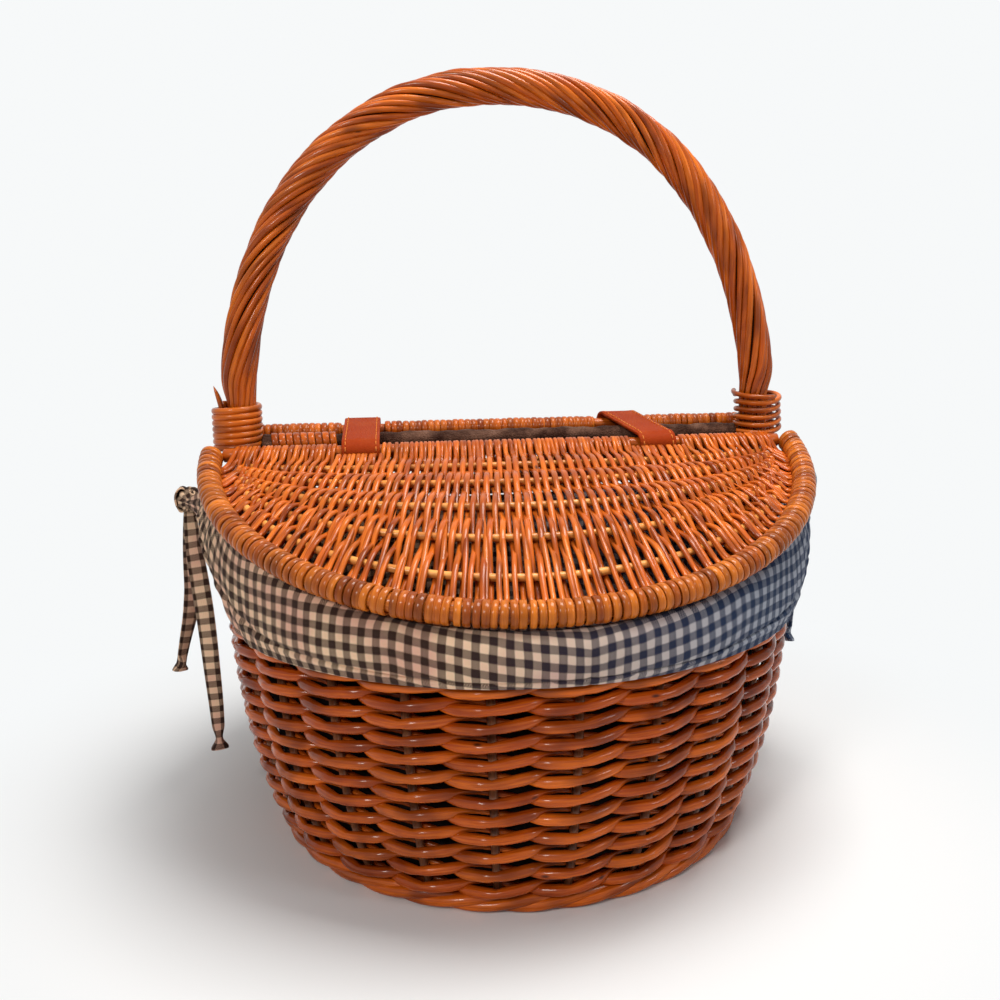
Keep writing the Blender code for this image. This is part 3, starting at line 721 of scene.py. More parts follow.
@dataclass(frozen=True)
class WillowFinish:
    """Varnished willow rods."""

    name: str
    dark: Rgb
    middle: Rgb
    light: Rgb
    gloss: float = 0.27
    spread: float = 0.22
    knots: float = 0.85
    relief: float = 0.00018
    coat_roughness: float = 0.14
    specular: float = 0.14

    def build(self, groups: GroupSet) -> bpy.types.Material:
        """Make the material.

        Args:
            groups: The shared node groups.

        Returns:
            The material.
        """
        material, w, shader = start_material(self.name)
        grain = w.add("ShaderNodeGroup", {"node_tree": groups.grain})
        for label, colour in (("Dark", self.dark), ("Middle", self.middle), ("Light", self.light)):
            grain.inputs[label].default_value = (*colour, 1.0)
        grain.inputs["Knots"].default_value = self.knots
        varnish = w.add("ShaderNodeGroup", {"node_tree": groups.varnish}, Streak=grain.outputs["Streak"])
        varnish.inputs["Gloss"].default_value = self.gloss
        varnish.inputs["Spread"].default_value = self.spread
        bump = w.add("ShaderNodeBump", Height=grain.outputs["Height"], Strength=0.5, Distance=self.relief)
        w.feed(shader.inputs["Base Color"], grain.outputs["Colour"])
        w.feed(shader.inputs["Roughness"], varnish.outputs["Roughness"])
        w.feed(shader.inputs["Coat Weight"], varnish.outputs["Coat"])
        w.feed(shader.inputs["Normal"], bump.outputs[0])
        shader.inputs["Coat Roughness"].default_value = self.coat_roughness
        shader.inputs["Coat IOR"].default_value = 1.5
        shader.inputs["Specular IOR Level"].default_value = self.specular
        return material


@dataclass(frozen=True)
class ScuffedFinish:
    """Leather, bark or thread with scuffs; also the near-black finishes of painted shade on the handle's core and the
    cloth.
    """

    name: str
    colour: Rgb
    worn: Rgb
    scale: float
    amount: float
    roughness: float
    relief: float

    def build(self, groups: GroupSet) -> bpy.types.Material:
        """Make the material.

        Args:
            groups: The shared node groups.

        Returns:
            The material.
        """
        material, w, shader = start_material(self.name)
        wear = w.add("ShaderNodeGroup", {"node_tree": groups.scuffs})
        wear.inputs["Colour"].default_value = (*self.colour, 1.0)
        wear.inputs["Worn"].default_value = (*self.worn, 1.0)
        wear.inputs["Scale"].default_value = self.scale
        wear.inputs["Amount"].default_value = self.amount
        bump = w.add("ShaderNodeBump", Height=wear.outputs["Height"], Strength=0.6, Distance=self.relief)
        w.feed(shader.inputs["Base Color"], wear.outputs["Colour"])
        w.feed(shader.inputs["Normal"], bump.outputs[0])
        shader.inputs["Roughness"].default_value = self.roughness
        shader.inputs["Specular IOR Level"].default_value = 0.05
        return material


@dataclass(frozen=True)
class GinghamFinish:
    """Cotton gingham."""

    name: str = "gingham cotton"
    warm: Rgb = (0.86, 0.60, 0.39)
    flushed: Rgb = (0.74, 0.42, 0.30)
    cool: Rgb = (0.31, 0.350, 0.43)
    warm_dye: Rgb = (0.034, 0.016, 0.011)
    cool_dye: Rgb = (0.011, 0.026, 0.070)
    check: float = 0.0038
    thread: float = 0.0011
    relief: float = 0.0003
    # Painted light tint: the cloth turns from warm at the left to blue at the right across X, between these two places.
    warm_light_side: float = -0.06
    cool_light_side: float = 0.12

    def build(self, groups: GroupSet) -> bpy.types.Material:
        """Make the material, whose pale and dyed colours shift from warm at the left to blue at the right: a painted
        tint of the light on each side.

        Args:
            groups: The shared node groups.

        Returns:
            The material.
        """
        material, w, shader = start_material(self.name)
        place = w.add("ShaderNodeTexCoord").outputs["Object"]
        across = w.add("ShaderNodeSeparateXYZ", Vector=place).outputs[0]
        # Painted light tint: share of the blue side's colours, rising across X from left to right.
        cool_light_share = w.ramp(across, self.warm_light_side, self.cool_light_side)
        patch = w.add("ShaderNodeTexNoise", Vector=place, Scale=34.0, Detail=2.0)
        warm = w.mix(w.ramp(patch.outputs["Fac"], 0.42, 0.66), (*self.warm, 1.0), (*self.flushed, 1.0))
        pale = w.mix(cool_light_share, warm, (*self.cool, 1.0))
        dyed = w.mix(cool_light_share, (*self.warm_dye, 1.0), (*self.cool_dye, 1.0))
        weave = w.add("ShaderNodeGroup", {"node_tree": groups.weave}, Pale=pale, Dyed=dyed)
        weave.inputs["Check"].default_value = self.check
        weave.inputs["Thread"].default_value = self.thread
        bump = w.add("ShaderNodeBump", Height=weave.outputs["Height"], Strength=0.6, Distance=self.relief)
        w.feed(shader.inputs["Base Color"], weave.outputs["Colour"])
        w.feed(shader.inputs["Normal"], bump.outputs[0])
        shader.inputs["Roughness"].default_value = 0.9
        shader.inputs["Specular IOR Level"].default_value = 0.15
        shader.inputs["Sheen Weight"].default_value = 0.06
        return material


@dataclass(frozen=True)
class Finishes:
    """Every material of the basket."""

    body: bpy.types.Material
    stake: bpy.types.Material
    lid: bpy.types.Material
    rim: bpy.types.Material
    rib: bpy.types.Material
    handle: bpy.types.Material
    core: bpy.types.Material
    bar: bpy.types.Material
    leather: bpy.types.Material
    stitch: bpy.types.Material
    shade: bpy.types.Material
    cloth: bpy.types.Material

    @classmethod
    def build(cls, groups: GroupSet) -> "Finishes":
        """Make all finishes.

        Args:
            groups: The shared node groups.

        Returns:
            The set of materials.
        """
        return cls(
            body=WillowFinish("body willow", (0.11, 0.012, 0.001), (0.38, 0.056, 0.003), (0.90, 0.210, 0.015), gloss=0.20, coat_roughness=0.09).build(groups),
            # Stakes: darker than the side's rods, partly their own colour and partly painted shade of the gaps between
            # the rows where they show.
            stake=WillowFinish("stake willow", (0.05, 0.012, 0.005), (0.19, 0.062, 0.026), (0.36, 0.150, 0.070)).build(groups),
            lid=WillowFinish("lid willow", (0.12, 0.014, 0.002), (0.49, 0.088, 0.006), (0.88, 0.235, 0.024)).build(groups),
            rim=WillowFinish("rim willow", (0.09, 0.011, 0.001), (0.36, 0.070, 0.005), (0.86, 0.260, 0.024)).build(groups),
            rib=WillowFinish("rib willow", (0.30, 0.065, 0.010), (0.74, 0.235, 0.035), (0.95, 0.520, 0.150)).build(groups),
            handle=WillowFinish("handle willow", (0.10, 0.012, 0.001), (0.42, 0.070, 0.004), (0.84, 0.220, 0.018)).build(groups),
            # Painted shade: the handle's core is near black, standing for the shade in the grooves between the strands.
            core=ScuffedFinish("shaded core", (0.022, 0.005, 0.002), (0.040, 0.011, 0.004), 300.0, 0.3, 0.7, 0.0004).build(groups),
            bar=ScuffedFinish("dark bark", (0.034, 0.012, 0.007), (0.20, 0.100, 0.065), 260.0, 0.75, 0.5, 0.0008).build(groups),
            leather=ScuffedFinish("tan leather", (0.310, 0.034, 0.004), (0.390, 0.064, 0.010), 420.0, 0.45, 0.50, 0.0002).build(groups),
            stitch=ScuffedFinish("orange thread", (0.700, 0.200, 0.040), (0.820, 0.360, 0.120), 900.0, 0.4, 0.7, 0.0002).build(groups),
            # Painted shade: near-black cloth for the pouch's outer side and the back of the tie loops.
            shade=ScuffedFinish("shaded cloth", (0.006, 0.004, 0.004), (0.014, 0.010, 0.010), 500.0, 0.5, 0.9, 0.0003).build(groups),
            cloth=GinghamFinish().build(groups),
        )


@dataclass(frozen=True)
class LidShape:
    """Plane and outline of one lid, as its solids have them."""

    side: Side
    axis_height: float
    reach: float
    tilt: float
    half_width: float = SIZES.lid_half_width - SIZES.lid_rim

    def place(self, x: Array, out: Array, lift: Array | float = 0.0) -> Array:
        """Points in the lid's plane.

        Args:
            x: Places along the hinge.
            out: Distances out from the hinge axis.
            lift: Heights square to the plane.

        Returns:
            Rows of points.
        """
        x, out, lift = np.broadcast_arrays(x, out, lift)
        run = out * math.cos(self.tilt) + lift * math.sin(self.tilt)
        drop = out * math.sin(self.tilt) - lift * math.cos(self.tilt)
        return np.stack([x, self.side.value * (SIZES.hinge_offset + run), self.axis_height - drop], axis=-1)

    @property
    def normal(self) -> Array:
        """Direction square to the lid, upwards."""
        return np.array([0.0, self.side.value * math.sin(self.tilt), math.cos(self.tilt)])

    def inner_reach(self, x: Array, inset: float) -> Array:
        """Reach at each x of the outline drawn in by an inset.

        Args:
            x: Places along the hinge.
            inset: How far the outline is drawn in.

        Returns:
            The reaches.
        """
        share = np.minimum(np.abs(x) / (self.half_width - inset), 1.0)
        return (self.reach - inset) * np.sqrt(1.0 - share * share)

    def dome(self, x: Array, out: Array) -> Array:
        """Rise of the woven field over the rim's plane.

        Args:
            x: Places along the hinge.
            out: Distances out from the hinge axis.

        Returns:
            The rises.
        """
        inset = SIZES.lid_rim + SIZES.gap
        share = np.clip(out / np.maximum(self.inner_reach(x, inset), inset), 0.0, 1.0)
        return SIZES.lid_dome * 4.0 * share * (1.0 - share) * (1.0 - (x / SIZES.lid_half_width) ** 2)

    @classmethod
    def pair(cls) -> tuple["LidShape", "LidShape"]:
        """The front and the rear lid."""
        run = SIZES.bowl_top_radius - SIZES.lid_front_inset - SIZES.hinge_offset
        front_reach = run / math.cos(SIZES.lid_tilt)
        drop = front_reach * math.sin(SIZES.lid_tilt) + SIZES.rear_hinge_rise
        front = cls(Side.FRONT, SIZES.hinge_height, front_reach, SIZES.lid_tilt)
        rear_height = SIZES.hinge_height + SIZES.rear_hinge_rise
        return front, cls(Side.REAR, rear_height, math.hypot(run, drop), math.atan2(drop, run))


@dataclass
class RimSaddle:
    """Height of the rim border round the basket, as high as the closed front lid allows."""

    lid: LidShape
    radius: float = SIZES.bowl_top_radius - SIZES.wall / 2.0
    samples: int = 720

    def __post_init__(self) -> None:
        """Work the heights out once, at even angles."""
        cloth = SIZES.fold_radius + SIZES.cloth / math.cos(math.pi / SIZES.ring_sides)
        spacing = SIZES.lid_rim + cloth + SIZES.running_gap
        angles = np.linspace(0.0, 2.0 * math.pi, self.samples, endpoint=False)
        turn = np.radians(np.arange(181))
        rim = self.lid.place(self.lid.half_width * np.cos(turn), self.lid.reach * np.sin(turn))
        spots = around(self.radius, angles, 0.0)
        across = spots[:, None, 0] - rim[None, :, 0]
        along = np.abs(spots[:, None, 1]) - np.abs(rim[None, :, 1])
        apart = np.hypot(across, along)
        drop = np.sqrt(np.maximum(spacing**2 - apart**2, 0.0))
        allowed = np.where(apart < spacing, rim[None, :, 2] - drop, np.inf)
        self.angles = angles
        self.heights = np.minimum(self.lid.axis_height - spacing, allowed.min(axis=1))

    def height(self, angle: Array) -> Array:
        """Height of the border's centre.

        Args:
            angle: Angles round the basket.

        Returns:
            The heights.
        """
        return np.interp(np.mod(angle, 2.0 * math.pi), self.angles, self.heights, period=2.0 * math.pi)


@dataclass
class WovenSide:
    """Paired rods woven round the stakes, with the foot and rim borders."""

    saddle: RimSaddle
    first_row: float = 0.0125
    first_pitch: float = 0.01175
    pitch_loss: float = 0.00015
    last_pitch: float = 0.0086
    rod: float = 0.0029
    depth: float = 0.0088
    swing: float = 0.0053
    rise: float = 0.0045
    steps: int = 20
    strand: float = 0.0029

    def row_height(self, row: int) -> float:
        """Height of a row where it bends over a stake.

        Args:
            row: The row's number from the foot.

        Returns:
            The height.
        """
        even = min(row, 10)
        height = self.first_row + self.first_pitch * even - self.pitch_loss * even * even
        return height + self.last_pitch * max(row - 10, 0)

    def phase_shares(self, phase: Array) -> tuple[Array, Array, Array]:
        """Depth, rise and thickness of a rod over two stakes, with a sharp bend over its own one.

        Args:
            phase: Place from -1 to 1, with 0 in front of the rod's own stake.

        Returns:
            Depth shares from -1 (behind) to 1 (in front), rises and thickness shares.
        """
        places = [-1.0, -0.8, -0.62, -0.5, -0.38, -0.12, 0.0, 0.12, 0.38, 0.5, 0.62, 0.8, 1.0]
        depth_shares = [-0.90, -0.75, -0.35, 0.0, 0.36, 0.88, 1.0, 0.88, 0.36, 0.0, -0.35, -0.75, -0.90]
        rise_shares = [0.0, -0.20, -0.34, -0.34, -0.28, -0.09, 0.0, 0.10, 0.28, 0.37, 0.44, 0.30, 0.0]
        thickness_shares = [0.55, 0.50, 0.42, 0.80, 1.0, 0.97, 0.74, 0.94, 1.0, 0.86, 0.45, 0.50, 0.55]
        depth = np.interp(phase, places, depth_shares)
        rise = self.rise * np.interp(phase, places, rise_shares)
        return depth, rise, np.interp(phase, places, thickness_shares)

    def weave_row(self, parts: MeshParts, row: int) -> None:
        """Weave the two rods of one row, whole or as runs at the sides.

        Args:
            parts: The mesh that receives them.
            row: The row's number.
        """
        level = self.row_height(row)
        stakes = SIZES.stake_count
        count = stakes * self.steps
        sway = parts.random.normal(0.0, 1.0, (2, 3))
        for rod in (0, 1):
            place = np.arange(count) / self.steps
            angle = SIZES.stake_first_angle + 2.0 * math.pi * place / stakes
            phase = np.mod(place + rod + 1.0, 2.0) - 1.0
            depth, rise, thick = self.phase_shares(phase)
            wobble = 0.0003 * sway[rod, 0] * np.sin(3.0 * angle + sway[rod, 1]) + 0.0002 * np.sin(17.0 * angle + 5.0 * sway[rod, 2])
            height = level + rise + wobble
            radius = SIZES.bowl_radius(height) - self.depth + self.swing * depth
            points = around(radius, angle, height)
            outward = around(1.0, angle, 0.0)
            size = self.rod * thick * (1.0 + 0.03 * sway[rod, 1])
            room = self.saddle.height(angle) - SIZES.border_radius - self.rod * 0.8
            inside = height < room
            if inside.all():
                parts.add_rod(points, outward, size, size, sides=10, closed=True)
                continue
            self.weave_runs(parts, points, outward, size, inside)

    def weave_runs(self, parts: MeshParts, points: Array, outward: Array, size: Array, inside: Array) -> None:
        """Sweep only the stretches of a row that lie under the border.

        Args:
            parts: The mesh that receives them.
            points: The rod's points.
            outward: Its outward directions.
            size: Its radii.
            inside: Which points lie under the border.
        """
        if not inside.any():
            return
        start = int(np.argmin(inside))
        order = np.roll(np.arange(len(points)), -start)
        flags = inside[order]
        edges = np.nonzero(np.diff(np.concatenate([[0], flags.astype(int), [0]])))[0]
        for first, last in zip(edges[::2], edges[1::2]):
            run = order[first:last]
            if len(run) > self.steps:
                parts.add_rod(points[run], outward[run], size[run], size[run], sides=10)

    def build_weave(self, material: bpy.types.Material) -> bpy.types.Object:
        """Weave every row.

        Args:
            material: The rods' finish.

        Returns:
            The woven side.
        """
        parts = MeshParts(seed=11)
        for row in range(22):
            self.weave_row(parts, row)
        return settle(parts.build("side_weave_rods", material), Body.BASKET, Slot.BODY, "side_weave")

    def build_stakes(self, material: bpy.types.Material) -> None:
        """Round the stakes, each at its own solid.

        Args:
            material: Their finish.
        """
        inset = SIZES.wall + SIZES.stake_clearance + SIZES.stake_radius
        for i in range(SIZES.stake_count):
            parts = MeshParts(seed=200 + i)
            angle = SIZES.stake_first_angle + 2.0 * math.pi * i / SIZES.stake_count
            top = float(self.saddle.height(np.array(angle))) - SIZES.border_radius
            heights = np.linspace(SIZES.foot_top + SIZES.gap, top, 26)
            points = around(SIZES.bowl_radius(heights) - inset, angle, heights)
            outward = around(1.0, angle, 0.0)
            parts.add_rod(points, outward, SIZES.stake_radius, SIZES.stake_radius, sides=10)
            node = f"stake_{i + 1:02d}"
            settle(parts.build(f"{node}_rod", material), Body.BASKET, Slot.BODY, node)

    def rope(self, parts: MeshParts, centre: Array, angle: Array, turns: int, reach: float, strand: float) -> None:
        """Plait three strands round a ring.

        Args:
            parts: The mesh that receives them.
            centre: The ring's centre line.
            angle: The angle of each of its points.
            turns: Whole turns round the ring.
            reach: Distance of the strands from the centre line.
            strand: Radius of a strand.
        """
        outward = around(1.0, angle, 0.0)
        for k in range(3):
            phase = turns * angle + 2.0 * math.pi * k / 3.0
            lift = np.array([0.0, 0.0, 1.0])
            points = centre + outward * (reach * np.cos(phase))[:, None] + lift * (reach * np.sin(phase))[:, None]
            parts.add_rod(points, outward, strand, strand, sides=10, closed=True)

    def build_borders(self, material: bpy.types.Material) -> None:
        """Plait the foot border and the rim border.

        Args:
            material: Their finish.
        """
        count = 720
        angle = 2.0 * math.pi * np.arange(count) / count
        foot = MeshParts(seed=21)
        middle = SIZES.bowl_radius(SIZES.foot_top) - SIZES.wall / 2.0 - SIZES.foot_inset
        centre = around(middle, angle, SIZES.foot_top / 2.0)
        self.rope(foot, centre, angle, 11, SIZES.foot_top / 2.0 - self.strand, self.strand)
        settle(foot.build("foot_border_plait", material), Body.BASKET, Slot.BODY, "foot_border")
        rim = MeshParts(seed=22)
        centre = around(self.saddle.radius, angle, self.saddle.height(angle))
        self.rope(rim, centre, angle, 24, SIZES.border_radius - self.strand, self.strand)
        settle(rim.build("rim_border_plait", material), Body.BASKET, Slot.BODY, "rim_border")

    def build_base(self, material: bpy.types.Material) -> None:
        """Weave the base: rings of rods over and under its cross sticks.

        Args:
            material: The rods' finish.
        """
        parts = MeshParts(seed=31)
        edge = SIZES.bowl_radius(SIZES.foot_top) - SIZES.wall / 2.0 - SIZES.foot_inset - SIZES.foot_radius - SIZES.gap
        middle = SIZES.base_thickness / 2.0
        rod = 0.0019
        rings = 30
        for i in range(rings):
            radius = 0.008 + (edge - 0.008 - rod) * i / (rings - 1)
            count = max(96, int(4 * radius * 1000))
            angle = 2.0 * math.pi * np.arange(count) / count
            height = middle + 0.0017 * np.sin(12.0 * angle + math.pi * (i % 2))
            points = around(np.full(count, radius), angle, height)
            parts.add_rod(points, np.array([0.0, 0.0, 1.0]), rod * 1.1, rod, sides=8, closed=True)
        for i in range(12):
            angle = math.pi * i / 12.0 + math.pi / 24.0
            along = np.linspace(-edge + 0.001, edge - 0.001, 40)
            points = np.stack([along * math.cos(angle), along * math.sin(angle), np.full(40, middle)], axis=1)
            parts.add_rod(points, np.array([0.0, 0.0, 1.0]), 0.002, 0.0019, sides=8)
        settle(parts.build("base_weave", material), Body.BASKET, Slot.BODY, "base_disc")


@dataclass
class TwistedHandle:
    """Strands laid round a core, with both legs bound."""

    saddle: RimSaddle
    strands: int = 14
    strand: float = 0.00190
    lay: float = 0.127
    leg_lay: float = 0.30
    samples: int = 560

    def leg_place(self, height: float) -> float:
        """Half span of a leg inside the basket.

        Args:
            height: Height above the floor.

        Returns:
            The place along X.
        """
        border_inner = self.saddle.radius - SIZES.border_radius - SIZES.gap
        wall_inner = float(SIZES.bowl_radius(height)) - SIZES.wall - SIZES.leg_clearance
        return min(border_inner, wall_inner) - SIZES.leg_foot_radius

    def half_run(self) -> tuple[Array, Array]:
        """Centre line and radii of the right half, from its foot to the top.

        Returns:
            The points and the radius at each.
        """
        low = SIZES.hinge_height - SIZES.leg_foot_radius
        heights = np.linspace(SIZES.leg_foot_height, low, 9)
        points = [(self.leg_place(z), 0.0, z) for z in heights]
        radii = [SIZES.leg_foot_radius] * len(points)
        bound = SIZES.half_span + SIZES.leg_bound_radius + SIZES.gap - SIZES.binding_inner
        for z in (SIZES.hinge_height, SIZES.hinge_height + SIZES.left_binding_height):
            points.append((bound, 0.0, z))
            radii.append(SIZES.leg_bound_radius)
        power = 2.0 / SIZES.handle_squareness
        start = SIZES.left_binding_height + SIZES.leg_flare - SIZES.handle_shoulder_rise
        first = math.asin((start / SIZES.handle_arch_rise) ** (1.0 / power))
        for angle in np.linspace(first, math.pi / 2.0, 60):
            x = SIZES.half_span * max(math.cos(angle), 0.0) ** power
            points.append((x, 0.0, SIZES.shoulder + SIZES.handle_arch_rise * math.sin(angle) ** power))
            radii.append(SIZES.handle_radius)
        return np.array(points), np.array(radii)

    def whole_run(self) -> tuple[Array, Array]:
        """Centre line and radii from the right foot over the top to the left foot.

        Returns:
            The points at even steps and the radius at each.
        """
        points, radii = self.half_run()
        mirrored = points[-2::-1] * np.array([-1.0, 1.0, 1.0])
        run = np.vstack([points, mirrored])
        sizes = np.concatenate([radii, radii[-2::-1]])
        lengths = run_lengths(run)
        wanted = np.linspace(0.0, lengths[-1], self.samples)
        even = np.stack([np.interp(wanted, lengths, run[:, k]) for k in range(3)], axis=1)
        size = np.interp(wanted, lengths, sizes)
        kernel = np.hanning(15)
        kernel /= kernel.sum()
        padded = np.pad(even, ((7, 7), (0, 0)), mode="reflect", reflect_type="odd")
        smooth = np.stack([np.convolve(padded[:, k], kernel, mode="valid") for k in range(3)], axis=1)
        return smooth, np.convolve(np.pad(size, 7, mode="edge"), kernel, mode="valid")

    def build(self, strand_finish: bpy.types.Material, core_finish: bpy.types.Material) -> None:
        """Lay the strands over the core.

        Args:
            strand_finish: The strands' finish.
            core_finish: The core's finish, painted near black as the shade seen only between them.
        """
        run, size = self.whole_run()
        tangent = unit(np.gradient(run, axis=0))
        front = np.array([0.0, -1.0, 0.0])
        outward = unit(np.cross(tangent, front))
        if outward[len(run) // 2, 2] < 0.0:
            outward = -outward
        step = run_lengths(run)
        on_arch = smooth_step((run[:, 2] - SIZES.hinge_height - 0.5 * SIZES.left_binding_height) / 0.12)
        rate = 2.0 * math.pi / (self.leg_lay + (self.lay - self.leg_lay) * on_arch)
        twist = np.concatenate([[0.0], np.cumsum(0.5 * (rate[1:] + rate[:-1]) * np.diff(step))])
        parts = MeshParts(seed=41)
        for k in range(self.strands):
            angle = twist + 2.0 * math.pi * k / self.strands + 0.06 * parts.random.normal()
            share = size / SIZES.handle_radius
            width = self.strand * share * (1.0 + 0.10 * parts.random.normal())
            reach = size - self.strand * share + 0.00025 * np.sin(step * 60.0 + 2.0 * k)
            direction = front[None, :] * np.cos(angle)[:, None] + outward * np.sin(angle)[:, None]
            parts.add_rod(run + direction * reach[:, None], direction, width * 1.04, width, sides=10)
        piece = settle(parts.build("handle_strands", strand_finish), Body.BASKET, Slot.HANDLE, "handle")
        # The core is painted near black as the shade between the strands.
        core = MeshParts(seed=42)
        core.add_rod(run, front, size * 0.72, size * 0.72, sides=16)
        settle(core.build("handle_core", core_finish), Body.BASKET, Slot.HANDLE)
        LOG.info("%s has %d strands", piece.name, self.strands)


@dataclass
class LegBindings:
    """Rods wound round the handle's legs, and the rod end beside the left one."""

    rod_half_height: float = 0.00195
    neat_turns: float = 7.0
    loose_turns: float = 5.4
    per_turn: int = 40

    def wind(self, name: str, side: int, height: float, turns: float, loose: float, finish: bpy.types.Material) -> None:
        """Wind one binding.

        Args:
            name: The binding's solid.
            side: -1 at the left, 1 at the right.
            height: Height of the binding.
            turns: How many turns it has.
            loose: How unevenly it lies, from 0.
            finish: Its finish.
        """
        parts = MeshParts(seed=51 + side)
        count = int(turns * self.per_turn)
        share = np.linspace(0.0, 1.0, count)
        turn = 2.0 * math.pi * turns * share + (0.4 if side > 0 else 2.4)
        low = SIZES.hinge_height + self.rod_half_height
        level = low + (height - 2.0 * self.rod_half_height) * share
        level = level + loose * (0.0011 * np.sin(turn + 0.6) + 0.0006 * np.sin(2.0 * turn + 1.0))
        flare = loose * (0.0016 * np.maximum(1.0 - 3.0 * share, 0.0) + 0.0004 * np.sin(1.7 * turn)) * np.cos(turn) ** 4
        radius = SIZES.binding_outer - SIZES.binding_rod + flare
        x = side * SIZES.half_span + radius * np.cos(turn)
        points = np.stack([x, radius * np.sin(turn), level], axis=1)
        outward = np.stack([np.cos(turn), np.sin(turn), np.zeros(count)], axis=1)
        size = self.rod_half_height * (1.0 - 0.18 * loose)
        parts.add_rod(points, outward, size, SIZES.binding_rod * 1.05, sides=12)
        if side > 0:
            self.curl(parts, points[-1], size)
        node = name
        settle(parts.build(f"{node}_wrap", finish), Body.BASKET, Slot.HANDLE, node)

    def curl(self, parts: MeshParts, start: Array, size: float) -> None:
        """Add the end that curls out over the top of the looser binding.

        Args:
            parts: The binding's mesh.
            start: Where the wound rod ends.
            size: Half height of the rod.
        """
        turn = np.linspace(2.6, 5.2, 26)
        radius = SIZES.binding_outer - 0.0012 + 0.0012 * np.linspace(1.0, 0.0, 26)
        x = SIZES.half_span + radius * np.cos(turn)
        level = start[2] - 0.0010 + 0.0030 * np.linspace(1.0, 0.0, 26) ** 2
        points = np.stack([x, radius * np.sin(turn), level], axis=1)
        outward = np.stack([np.cos(turn), np.sin(turn), np.zeros(26)], axis=1)
        parts.add_rod(points, outward, size * 0.9, SIZES.binding_rod, sides=10)

    def build(self, finish: bpy.types.Material) -> None:
        """Wind both bindings and set the rod end.

        Args:
            finish: Their finish.
        """
        self.wind("left_binding", -1, SIZES.left_binding_height, self.neat_turns, 0.0, finish)
        self.wind("right_binding", 1, SIZES.right_binding_height, self.loose_turns, 1.0, finish)
        parts = MeshParts(seed=55)
        x = -(SIZES.half_span + SIZES.binding_inner - SIZES.gap - SIZES.rod_end_radius)
        top = SIZES.hinge_height + SIZES.left_binding_height
        share = np.linspace(0.0, 1.0, 14)
        lean = SIZES.rod_end_lean * share**1.5
        points = np.stack([x - lean, np.zeros(14), top - 0.006 + (SIZES.rod_end_rise + 0.006) * share], axis=1)
        width = SIZES.rod_end_radius * (1.0 - 0.92 * share**3.5)
        parts.add_rod(points, np.array([-1.0, 0.0, 0.0]), width, width * 0.6, sides=12)
        settle(parts.build("left_rod_tip", finish), Body.BASKET, Slot.HANDLE, "left_rod_end")


@dataclass
class CentreBar:
    """Dark unpeeled bar between the bindings, wrapped at its left end."""

    wrap_turns: int = 9

    def build(self, bark: bpy.types.Material, wrap: bpy.types.Material) -> None:
        """Make the bar and its wrapping.

        Args:
            bark: The bar's finish.
            wrap: The wrapping's finish.
        """
        half = SIZES.half_span - SIZES.binding_outer - SIZES.gap
        height = SIZES.hinge_height + SIZES.rear_hinge_rise / 2.0
        count = 260
        x = np.linspace(-half, half, count)
        parts = MeshParts(seed=61)
        lump = 0.0003 * np.sin(x * 210.0) + 0.00025 * np.sin(x * 530.0 + 1.0)
        points = np.stack([x, 0.0004 * np.sin(x * 60.0), np.full(count, height)], axis=1)
        size = SIZES.bar_radius - 0.0006 + lump
        parts.add_rod(points, np.array([0.0, 0.0, 1.0]), size, size, sides=20)
        settle(parts.build("centre_bar_bark", bark), Body.BASKET, Slot.BAR, "centre_bar")
        strips = MeshParts(seed=62)
        pitch = 0.0081
        turns = self.wrap_turns
        steps = 24 * turns
        turn = 2.0 * math.pi * np.arange(steps) / 24.0
        along = -half + 0.001 + pitch * 0.5 + pitch * turns * np.arange(steps) / steps * 0.52
        radius = SIZES.bar_radius - 0.0001
        ring = np.stack([along, radius * np.cos(turn), height + radius * np.sin(turn)], axis=1)
        outward = np.stack([np.zeros(steps), np.cos(turn), np.sin(turn)], axis=1)
        strips.add_rod(ring, outward, pitch * 0.24, 0.0006, sides=8, squareness=0.7)
        settle(strips.build("centre_bar_wrap", wrap), Body.BASKET, Slot.BAR)


